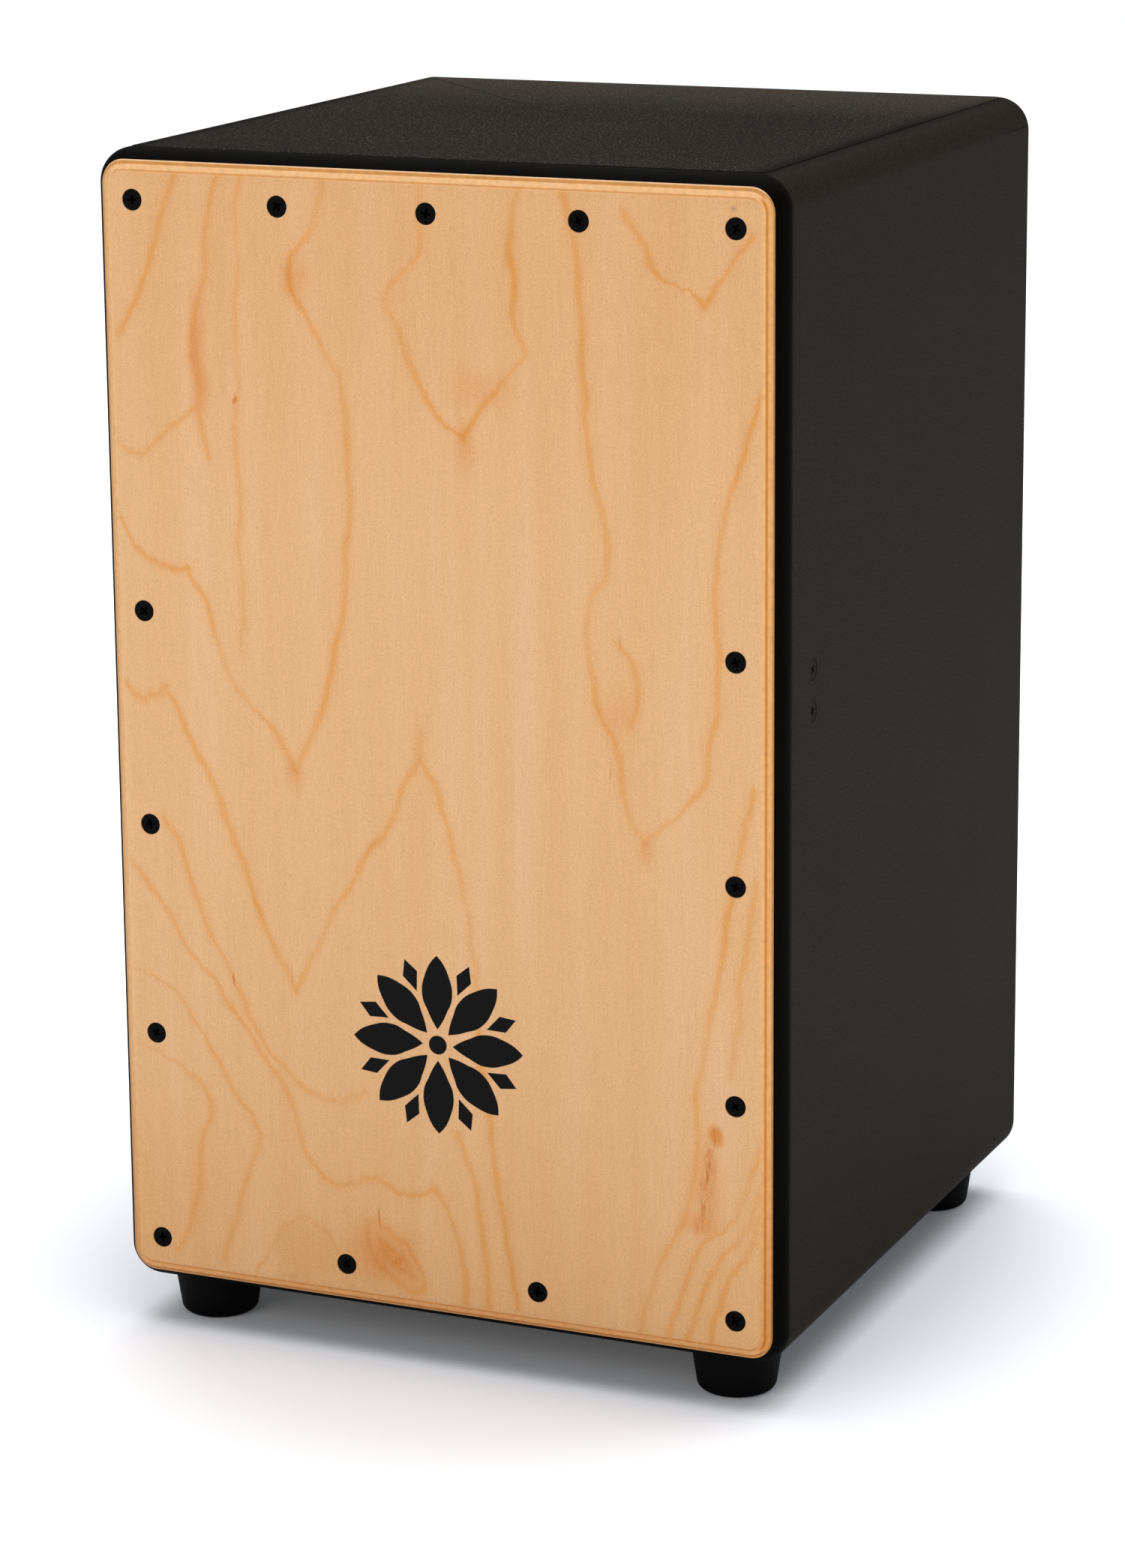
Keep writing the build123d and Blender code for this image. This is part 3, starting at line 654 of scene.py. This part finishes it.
def plies(*layers):
    """Bands of colour by depth: each layer ends at a share of the plate's thickness."""
    stops, begin = [], 0.0
    for end, tone in layers:
        stops += [(begin + PLY_BLUR, tone), (end - PLY_BLUR, tone)]
        begin = end
    return add(tree, "ValToRGB", {"Fac": depth}, stops)


right_edge = plies((0.34, "#dfab72"), (0.49, "#c57f35"), (0.83, "#dca264"), (1.0, "#b07d47"))
left_edge = plies((0.3, "#d9ab7a"), (0.62, "#d1a06b"), (1.0, "#c08a50"))
END_PLIES = [(0.17, "#e0b07c"), (0.25, "#c98b4b"), (0.58, "#e1b17e"), (0.86, "#bf8547")]
end_edge = plies(*END_PLIES, (1.0, "#dcb48c"))
on_left = add(tree, "MapRange", {"Value": across, "From Min": 2 * MM, "From Max": -2 * MM})
side_edge = add(tree, "MixRGB", {0: on_left, 1: right_edge, 2: left_edge})
edge = add(tree, "MixRGB", {0: on_side, 1: end_edge, 2: side_edge})
# painted shade browns the routed edge towards the foot as well
edge = add(tree, "MixRGB", {0: low_painted_shade, 1: edge, 2: "#f4e2c8"}, blend_type="MULTIPLY")
edge_grain = add(tree, "TexNoise", {"Vector": place, "Scale": 420, "Detail": 3})
edge_tone = add(tree, "ValToRGB", {"Fac": edge_grain}, [(0.3, "#f0eeea"), (0.65, "#ffffff")])
edge = add(tree, "MixRGB", {0: 1.0, 1: edge, 2: edge_tone}, blend_type="MULTIPLY")
past_face = add(tree, "MapRange", {"Value": depth, "From Min": 0.1, "From Max": 0.24})
wood = add(tree, "MixRGB", {0: past_face, 1: wood, 2: edge})
bump = add(tree, "Bump", {"Strength": 0.12, "Distance": 0.1 * MM, "Height": fibre})

# the varnish is satin, and the ink on it is duller
INK_ROUGHNESS = (0.7, 0.7, 0.7, 1)
rough = {"Value": bands, **NOISE_SPAN, "To Min": 0.42, "To Max": 0.5}
rough = add(tree, "MixRGB", {0: ink, 1: add(tree, "MapRange", rough), 2: INK_ROUGHNESS})
feed(tree, shader, {"Base Color": wood, "Normal": bump})
feed(tree, shader, {"Roughness": rough, "Specular IOR Level": 0.12})

# The plate is the front 3 mm of the same rounded box, with a countersink for each screw.
low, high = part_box("tapa_screws_left")
PLATE_HEAD_R, PLATE_SHANK_R = (high.x - low.x) / 2, 2.1 * MM
PLATE_SCREW_LENGTH = high.y - low.y
SINK, SINK_CLEARANCE, HEAD_RIM, DRILL_DEPTH = 0.15 * MM, 0.15 * MM, 0.3 * MM, 13 * MM
low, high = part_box("tapa_screws_top")
TOP_ROW, TOP_ROW_X = (low.z + high.z) / 2, high.x - PLATE_HEAD_R
low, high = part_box("tapa_screws_bottom")
BOTTOM_ROW = (low.z + high.z) / 2
low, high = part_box("tapa_screws_right")
SIDE_ROW_LOW, SIDE_ROW_HIGH = low.z + PLATE_HEAD_R, high.z - PLATE_HEAD_R


def evenly(first, last, count):
    """Places at equal steps from the first to the last."""
    return [first + (last - first) * i / (count - 1) for i in range(count)]


side_rows = evenly(SIDE_ROW_LOW, SIDE_ROW_HIGH, 3)
HEAD_Y = FACE_Y + SINK
TAPA_SCREWS = {
    "tapa_screws_top": [(x, HEAD_Y, TOP_ROW) for x in evenly(-TOP_ROW_X, TOP_ROW_X, 5)],
    "tapa_screws_left": [(-TOP_ROW_X, HEAD_Y, z) for z in side_rows],
    "tapa_screws_right": [(TOP_ROW_X, HEAD_Y, z) for z in side_rows],
    "tapa_screws_bottom": [(x, HEAD_Y, BOTTOM_ROW) for x in evenly(-TOP_ROW_X, TOP_ROW_X, 4)],
}
FACING_FRONT = Matrix.Rotation(radians(90), 4, "X")
FACING_REAR = Matrix.Rotation(radians(-90), 4, "X")
FACING_RIGHT = Matrix.Rotation(radians(90), 4, "Y")
FACING_LEFT = Matrix.Rotation(radians(-90), 4, "Y")
ROUND = 48


def turned(name, profile, steps=ROUND):
    """A solid turned on Z: a disc drawn through rings of (radius, height), then closed."""
    pick()
    radius, height = profile[0]
    bpy.ops.mesh.primitive_circle_add(
        vertices=steps, radius=radius, location=(0, 0, height), fill_type="NGON"
    )
    piece = bpy.context.object
    piece.name = name
    bpy.ops.object.transform_apply()
    bpy.ops.object.mode_set(mode="EDIT")
    for next_radius, next_height in profile[1:]:
        bpy.ops.mesh.select_mode(type="FACE")
        bpy.ops.mesh.extrude_region_move(TRANSFORM_OT_translate={"value": (0, 0, next_height - height)})
        grow = next_radius / radius
        bpy.ops.transform.resize(value=(grow, grow, 1), center_override=(0, 0, next_height))
        radius, height = next_radius, next_height
    bpy.ops.mesh.select_all(action="SELECT")
    bpy.ops.mesh.normals_make_consistent()
    bpy.ops.object.mode_set(mode="OBJECT")
    return piece


def copies(name, model, places):
    """One piece of several like parts: a copy of the model at each place, with its own mesh."""
    made = []
    for at in places:
        copy = model.copy()
        copy.data = model.data.copy()
        copy.matrix_world = at
        bpy.context.scene.collection.objects.link(copy)
        made.append(copy)
    pick(*made)
    if len(made) > 1:
        bpy.ops.object.join()
    bpy.ops.object.transform_apply()
    bpy.context.object.name = name
    return bpy.context.object


def carve(piece, tool):
    """Cuts one mesh out of another and throws the tool away."""
    pick(piece)
    bpy.ops.object.modifier_add(type="BOOLEAN")
    piece.modifiers[-1].object = tool
    piece.modifiers[-1].operation = "DIFFERENCE"
    piece.modifiers[-1].solver = "EXACT"
    bpy.ops.object.modifier_apply(modifier=piece.modifiers[-1].name)
    bpy.data.objects.remove(tool)


def countersink(board, points, facing, head_r, shank_r):
    """Drills a board at each point and sinks it for the head of a screw."""
    wide, neck = head_r + SINK_CLEARANCE, -HEAD_RIM - (head_r - shank_r)
    sink = [(wide, 1 * MM), (wide, -HEAD_RIM), (shank_r, neck), (shank_r, -DRILL_DEPTH)]
    drill = turned("drill", sink)
    carve(board, copies("drills", drill, [Matrix.Translation(p) @ facing for p in points]))
    bpy.data.objects.remove(drill)
    finish_mesh(board)


tapa = shell_piece("tapa_plate", ((0, SHELL_FRONT, 0), (0, 1, 0)))
bpy.ops.object.mode_set(mode="OBJECT")
countersink(tapa, sum(TAPA_SCREWS.values(), []), FACING_FRONT, PLATE_HEAD_R, PLATE_SHANK_R)
leave_raw(tapa, veneer, (1, SHELL_FRONT))
hand_in(tapa, "natural_plywood", "tapa")


# ------------------------------------------------------------------ screws of the boards
# Countersunk cross-head wood screws of black-oxide steel. The black is a thin dull coat, so
# only the rim of the head catches the light. The two screws at each end of the snare rail are
# set flush in the sides and were sprayed over with the shell.
black_oxide, tree, shader, place = material("black_oxide_steel")
coat = add(tree, "TexNoise", {"Vector": place, "Scale": 1600, "Detail": 3})
tone = add(tree, "ValToRGB", {"Fac": coat}, [(0.3, "#030303"), (0.7, "#080707")])
rough = {"Value": coat, **NOISE_SPAN, "To Min": 0.42, "To Max": 0.58}
bump = add(tree, "Bump", {"Strength": 0.15, "Distance": 0.05 * MM, "Height": coat})
feed(tree, shader, {"Base Color": tone, "Roughness": add(tree, "MapRange", rough)})
feed(tree, shader, {"Normal": bump, "Specular IOR Level": 0.035})

# the cross in a screw's head, as shares of the head's radius, and how its blades taper
CROSS_REACH, CROSS_DEPTH = 0.64, 0.55
BLADE_THICK, BLADE_TAPER = 0.23, (0.45, 0.6, 1)


def cross_tool(head_r):
    """A cross-head driver's tip: two tapered blades, mouth at z = 0."""
    reach, depth = CROSS_REACH * head_r, CROSS_DEPTH * head_r
    thick = BLADE_THICK * reach
    blades = []
    for turn in (0, 90):
        blade = new_box("blade", (-reach, -thick, -depth), (reach, thick, depth))
        select_where(blade, all_at(2, -depth))
        bpy.ops.transform.resize(value=BLADE_TAPER, center_override=(0, 0, -depth))
        bpy.ops.object.mode_set(mode="OBJECT")
        blade.matrix_world = Matrix.Rotation(radians(turn), 4, "Z")
        blades.append(blade)
    pick(*blades)
    bpy.ops.object.transform_apply()
    return blades


def flat_screw(name, head_r, shank_r, length):
    """A countersunk screw, head face at z = 0 and point towards -Z, with a softened rim."""
    cone, soft = head_r - shank_r, 0.12 * MM
    head = [(head_r - soft, 0), (head_r, -soft), (head_r, -HEAD_RIM), (shank_r, -HEAD_RIM - cone)]
    point = [(shank_r, -length + 4 * shank_r), (shank_r * 0.8, -length + 2 * shank_r)]
    screw = turned(name, [*head, *point, (shank_r * 0.1, -length)])
    for blade in cross_tool(head_r):
        carve(screw, blade)
    finish_mesh(screw)
    paint_slots(screw, black_oxide)
    return screw


# the angle of each row's first cross, in degrees, and how it differs along a row and by row
FIRST_CROSS, CROSS_STEP, ROW_STEP = 4, 37, 61


def drive_in(model, name, node, points, facing, first_turn):
    """A row of screws, each with its cross left at its own angle by the driver."""
    places = []
    for i, point in enumerate(points):
        turn = Matrix.Rotation(radians(first_turn + CROSS_STEP * i), 4, "Z")
        places.append(Matrix.Translation(point) @ facing @ turn)
    hand_in(copies(name, model, places), "black_screw_steel", node)


model = flat_screw("plate_screw", PLATE_HEAD_R, PLATE_SHANK_R, PLATE_SCREW_LENGTH)
for i, (node, points) in enumerate(TAPA_SCREWS.items()):
    drive_in(model, "black_" + node, node, points, FACING_FRONT, FIRST_CROSS + ROW_STEP * i)
bpy.data.objects.remove(model)

painted_screw, tree, shader, place = material("oversprayed_screw_steel")
specks = add(tree, "TexNoise", {"Vector": place, "Scale": 1100, "Detail": 3})
tone = add(tree, "ValToRGB", {"Fac": specks}, [(0.32, "#0e0a08"), (0.7, "#1c1612")])
bump = add(tree, "Bump", {"Strength": 0.25, "Distance": 0.08 * MM, "Height": specks})
feed(tree, shader, {"Base Color": tone, "Normal": bump})
feed(tree, shader, {"Roughness": 0.6, "Specular IOR Level": 0.025})

RAIL_SCREW_LENGTH, RAIL_CROSS = 40 * MM, 20
low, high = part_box("snare_rail_screws_right")
RAIL_Y = (low.y + high.y) / 2
RAIL_ROWS = (low.z + PLATE_HEAD_R, high.z - PLATE_HEAD_R)
RAIL_HEAD_X = high.x
model = flat_screw("rail_screw", PLATE_HEAD_R, PLATE_SHANK_R, RAIL_SCREW_LENGTH)
paint_slots(model, painted_screw)
for side, name, facing in ((-1, "left", FACING_LEFT), (1, "right", FACING_RIGHT)):
    points = [(side * RAIL_HEAD_X, RAIL_Y, z) for z in RAIL_ROWS]
    side_board = bpy.data.objects[f"shell_{name}_side_panel"]
    countersink(side_board, points, facing, PLATE_HEAD_R, PLATE_SHANK_R)
    node = f"snare_rail_screws_{name}"
    drive_in(model, f"rail_screws_{name}", node, points, facing, RAIL_CROSS)
bpy.data.objects.remove(model)


# ------------------------------------------------------------------ back board
# A 6 mm board let into the back of the shell, lacquered black on the outside, with the round
# sound hole cut through it and its edge eased by hand. Twelve smaller screws hold it to the
# rear frame.
BACK_HEAD_R, BACK_SHANK_R, BACK_SCREW_LENGTH = 3.6 * MM, 1.6 * MM, 18 * MM
BACK_CROSS, BACK_ROW_STEP = 11, 53
HOLE_R, HOLE_SOFT, CORNER_SOFT = 60 * MM, 2 * MM, 0.6 * MM
low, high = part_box("back_panel")
BACK_INNER, BACK_OUTER = low.y, high.y
BACK_SCREWS = {}
for side in SIDES:
    row = f"back_screws_{side}"
    first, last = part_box(row)
    xs = evenly(first.x + BACK_HEAD_R, last.x - BACK_HEAD_R, 3)
    zs = evenly(first.z + BACK_HEAD_R, last.z - BACK_HEAD_R, 3)
    BACK_SCREWS[row] = [(x, last.y, z) for x, z in zip(xs, zs)]

board = new_box("sound_hole_board", low, high)
ease(board, along(1), CORNER_SOFT, 3)
ease(board, all_at(1, BACK_OUTER), CORNER_SOFT / 2, 2)
bpy.ops.object.mode_set(mode="OBJECT")
thick = BACK_OUTER - BACK_INNER
mouth = [(HOLE_R + HOLE_SOFT, 1 * MM), (HOLE_R + HOLE_SOFT, 0)]
STEPS = 6
for i in range(1, STEPS + 1):
    swing = radians(90 * i / STEPS)
    mouth.append((HOLE_R + HOLE_SOFT * (1 - sin(swing)), -HOLE_SOFT * (1 - cos(swing))))
for i in range(STEPS + 1):
    swing = radians(90 * i / STEPS)
    mouth.append((HOLE_R + HOLE_SOFT * (1 - cos(swing)), -thick + HOLE_SOFT * (1 - sin(swing))))
mouth.append((HOLE_R + HOLE_SOFT, -thick - 1 * MM))
hole = turned("hole", mouth, steps=128)
hole_place = Matrix.Translation((0, BACK_OUTER, MIDDLE_Z)) @ FACING_REAR
carve(board, copies("hole_tool", hole, [hole_place]))
bpy.data.objects.remove(hole)
countersink(board, sum(BACK_SCREWS.values(), []), FACING_REAR, BACK_HEAD_R, BACK_SHANK_R)
leave_raw(board, lacquer, (1, BACK_INNER))
hand_in(board, "black_shell_paint", "back_panel")

model = flat_screw("back_screw", BACK_HEAD_R, BACK_SHANK_R, BACK_SCREW_LENGTH)
for i, (node, points) in enumerate(BACK_SCREWS.items()):
    drive_in(model, "black_" + node, node, points, FACING_REAR, BACK_CROSS + BACK_ROW_STEP * i)
bpy.data.objects.remove(model)


# ------------------------------------------------------------------ seat sheet
# A thin self-adhesive anti-slip sheet on the top, where the player sits. Its hard mineral
# grit, about 0.6 mm, is bonded in black resin: it is coarser than the paint round it, with
# some paler grains. Its edges are pressed down and its corners are cut round.
grit, tree, shader, place = material("black_anti_slip_grit")
# the grit is drawn 1 mm wide, because the real grain is too fine to show
grains = add(tree, "TexNoise", {"Vector": place, "Scale": 950, "Roughness": 0.7})
dust = add(tree, "TexNoise", {"Vector": place, "Scale": 9, "Detail": 3})
GRAIN_TONES = [(0.42, "#15110d"), (0.56, "#231e18"), (0.66, "#463f35"), (0.74, "#675f52")]
tone = add(tree, "ValToRGB", {"Fac": grains}, GRAIN_TONES)
worn = add(tree, "ValToRGB", {"Fac": dust}, [(0.35, "#dcdcdc"), (0.65, "#ffffff")])
tone = add(tree, "MixRGB", {0: 1.0, 1: tone, 2: worn}, blend_type="MULTIPLY")
# painted shade darkens the sheet along its side edges, and the sheet is paler towards its rear
across, back, up = add(tree, "SeparateXYZ", {"Vector": place}).outputs
side_reach = add(tree, "Math", {0: across}, operation="ABSOLUTE")
sheet_edge_shade = {"Value": side_reach, "From Min": SEAT_EDGE - 10 * MM, "From Max": SEAT_EDGE - 1 * MM}
tone = add(tree, "MixRGB", {0: add(tree, "MapRange", sheet_edge_shade), 1: tone, 2: "#0d0b09"})
paler_to_rear = {"Value": back, "From Min": 40 * MM, "From Max": SHELL_REAR, "To Max": 0.3}
tone = add(tree, "MixRGB", {0: add(tree, "MapRange", paler_to_rear), 1: tone, 2: "#4d463b"})
bump = add(tree, "Bump", {"Strength": 0.5, "Distance": 0.3 * MM, "Height": grains})
feed(tree, shader, {"Base Color": tone, "Normal": bump})
feed(tree, shader, {"Roughness": 0.85, "Specular IOR Level": 0.04})

low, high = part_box("seat_grip_sheet")
SHEET_CORNER, SHEET = 3 * MM, high.z - low.z
# how thick the sheet is at its pressed-down edge, and further in from the edge, as shares
PRESSED, FEATHER = 0.15, ((1.2 * MM, 0.6), (2.5 * MM, 1.0))
sheet = new_box("seat_sheet", low, high)
ease(sheet, along(2), SHEET_CORNER, 6)
select_where(sheet, all_at(2, high.z))
shape = bmesh.from_edit_mesh(sheet.data)
rise = {v.index: PRESSED * SHEET for v in shape.verts if abs(v.co.z - high.z) < CLOSE}
for width, share in FEATHER:
    bpy.ops.mesh.inset(thickness=width)
    shape = bmesh.from_edit_mesh(sheet.data)
    for v in shape.verts:
        if v.co.z > high.z - CLOSE and v.index not in rise:
            rise[v.index] = share * SHEET
round_from = SIDE_X - LONG_EDGE_R
for v in shape.verts:
    past = max(0, abs(v.co.x) - round_from)
    board_z = SHELL_TOP - LONG_EDGE_R + (LONG_EDGE_R ** 2 - past ** 2) ** 0.5
    v.co.z = board_z + rise.get(v.index, -CLOSE)
bmesh.update_edit_mesh(sheet.data)
finish_mesh(sheet, 60)
paint_slots(sheet, grit)
hand_in(sheet, "anti_slip_sheet", "seat_grip_sheet")


# ------------------------------------------------------------------ snares
# Two sets of twelve coiled steel wires lean against the back of the front plate. Each set is
# soldered to a bent clamp plate, which two small screws hold on the rail, and to a thin strip
# at its free end.
spring_wire, tree, shader, place = material("drawn_spring_steel")
drawn = add(tree, "TexNoise", {"Vector": place, "Scale": 900})
tone = add(tree, "ValToRGB", {"Fac": drawn}, [(0.3, "#a9abae"), (0.7, "#c6c8ca")])
rough = {"Value": drawn, **NOISE_SPAN, "To Min": 0.25, "To Max": 0.38}
rough = add(tree, "MapRange", rough)
feed(tree, shader, {"Base Color": tone, "Roughness": rough, "Metallic": 1.0})

zinc, tree, shader, place = material("zinc_plated_steel")
spangle = add(tree, "TexVoronoi", {"Vector": place, "Scale": 700}).outputs["Distance"]
tone = add(tree, "ValToRGB", {"Fac": spangle}, [(0.1, "#b9bcc0"), (0.7, "#a3a7ab")])
rough = add(tree, "MapRange", {"Value": spangle, "To Min": 0.3, "To Max": 0.46})
feed(tree, shader, {"Base Color": tone, "Roughness": rough, "Metallic": 1.0})

STRANDS, STRAND_PITCH, STRAND_LENGTH = 12, 5 * MM, 130 * MM
WIRE_R, COIL_R, COIL_PITCH, COIL_STEPS = 0.25 * MM, 1.1 * MM, 1.8 * MM, 8
CLAMP_SHEET, CLAMP_LEG = 1 * MM, 14 * MM
low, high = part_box("snare_clamp_plate_right")
SET_X = (low.x + high.x) / 2
BEND_Y, BEND_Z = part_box("snare_rail")[0].y - CLAMP_SHEET, low.z + CLAMP_LEG
low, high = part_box("snare_tip_strip_right")
LEAN = atan((BEND_Y - low.y) / (high.z - BEND_Z))

pick()
bpy.ops.mesh.primitive_circle_add(
    vertices=5, radius=WIRE_R, location=(COIL_R - WIRE_R, 0, 0), rotation=(radians(90), 0, 0)
)
strand = bpy.context.object
strand.name = "strand"
bpy.ops.object.transform_apply()
bpy.ops.object.modifier_add(type="SCREW")
coil = strand.modifiers[-1]
coil.axis, coil.angle, coil.screw_offset = "Z", 2 * pi, COIL_PITCH
coil.steps = coil.render_steps = COIL_STEPS
coil.iterations = int((STRAND_LENGTH - 2 * WIRE_R) / COIL_PITCH)
bpy.ops.object.modifier_apply(modifier=coil.name)
bpy.ops.object.mode_set(mode="EDIT")
bpy.ops.mesh.select_all(action="SELECT")
bpy.ops.mesh.normals_make_consistent()
bpy.ops.object.mode_set(mode="OBJECT")
bpy.ops.object.shade_smooth()
paint_slots(strand, spring_wire)
HALF_SET = STRAND_PITCH * (STRANDS - 1) / 2
for side, name in ((-1, "left"), (1, "right")):
    start = Matrix.Translation((side * SET_X, BEND_Y, BEND_Z)) @ Matrix.Rotation(LEAN, 4, "X")
    row = [(x, -COIL_R, WIRE_R) for x in evenly(-HALF_SET, HALF_SET, STRANDS)]
    wires = copies(f"coiled_wires_{name}", strand, [start @ Matrix.Translation(p) for p in row])
    hand_in(wires, "snare_steel", f"snare_wires_{name}")
    finish_nodes(zinc, *[f"snare_{part}_{name}" for part in ("clamp_plate", "tip_strip", "plate_screws")])
bpy.data.objects.remove(strand)


# ------------------------------------------------------------------ feet
# Four moulded rubber feet, tapered, with a washer and a dome-headed screw up a well in each.
# The mould leaves them dull and very slightly grainy, with a soft edge at the floor.
rubber, tree, shader, place = material("moulded_black_rubber")
skin = add(tree, "TexNoise", {"Vector": place, "Scale": 900, "Detail": 3})
bloom = add(tree, "TexNoise", {"Vector": place, "Scale": 40, "Detail": 3})
tone = add(tree, "ValToRGB", {"Fac": bloom}, [(0.3, "#040404"), (0.7, "#090808")])
bump = add(tree, "Bump", {"Strength": 0.25, "Distance": 0.1 * MM, "Height": skin})
rough = {"Value": bloom, **NOISE_SPAN, "To Min": 0.62, "To Max": 0.74}
feed(tree, shader, {"Base Color": tone, "Roughness": add(tree, "MapRange", rough)})
feed(tree, shader, {"Normal": bump, "Specular IOR Level": 0.05})

FOOT_BOTTOM_R, FOOT_EDGE_R, TOP_SOFT = 16 * MM, 3 * MM, 0.5 * MM
WELL_R, WELL_SOFT, WELL_DEPTH = 7 * MM, 0.5 * MM, 11 * MM
low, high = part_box("foot_front_right")
FOOT_TOP_R, FOOT_HEIGHT = (high.x - low.x) / 2, high.z
FOOT_MIDDLE = (0, 0, FOOT_HEIGHT / 2)
pick()
bpy.ops.mesh.primitive_cone_add(
    vertices=72, radius1=FOOT_BOTTOM_R, radius2=FOOT_TOP_R, depth=FOOT_HEIGHT, location=FOOT_MIDDLE
)
foot = bpy.context.object
foot.name = "foot"
bpy.ops.object.transform_apply()
bpy.ops.object.mode_set(mode="EDIT")
ease(foot, all_at(2, 0), FOOT_EDGE_R, 7)
ease(foot, all_at(2, FOOT_HEIGHT), TOP_SOFT, 3)
select_where(foot, all_at(2, 0))
bottom_r = max(v.co.length for v in bmesh.from_edit_mesh(foot.data).verts if abs(v.co.z) < CLOSE)
bpy.ops.mesh.inset(thickness=bottom_r - WELL_R)
bpy.ops.mesh.extrude_region_move(TRANSFORM_OT_translate={"value": (0, 0, WELL_DEPTH)})


def well_mouth(edge):
    """The edge of the well where it meets the foot's underside."""
    return all(abs(v.co.z) < CLOSE and v.co.xy.length < WELL_R + 10 * CLOSE for v in edge.verts)


ease(foot, well_mouth, WELL_SOFT, 3)
finish_mesh(foot)
paint_slots(foot, rubber)
for end in ("front", "rear"):
    for hand in ("left", "right"):
        low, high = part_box(f"foot_{end}_{hand}")
        at = Matrix.Translation(((low.x + high.x) / 2, (low.y + high.y) / 2, 0))
        hand_in(copies(f"rubber_foot_{end}_{hand}", foot, [at]), "black_rubber", f"foot_{end}_{hand}")
        finish_nodes(zinc, f"foot_washer_{end}_{hand}", f"foot_screw_{end}_{hand}")
bpy.data.objects.remove(foot)
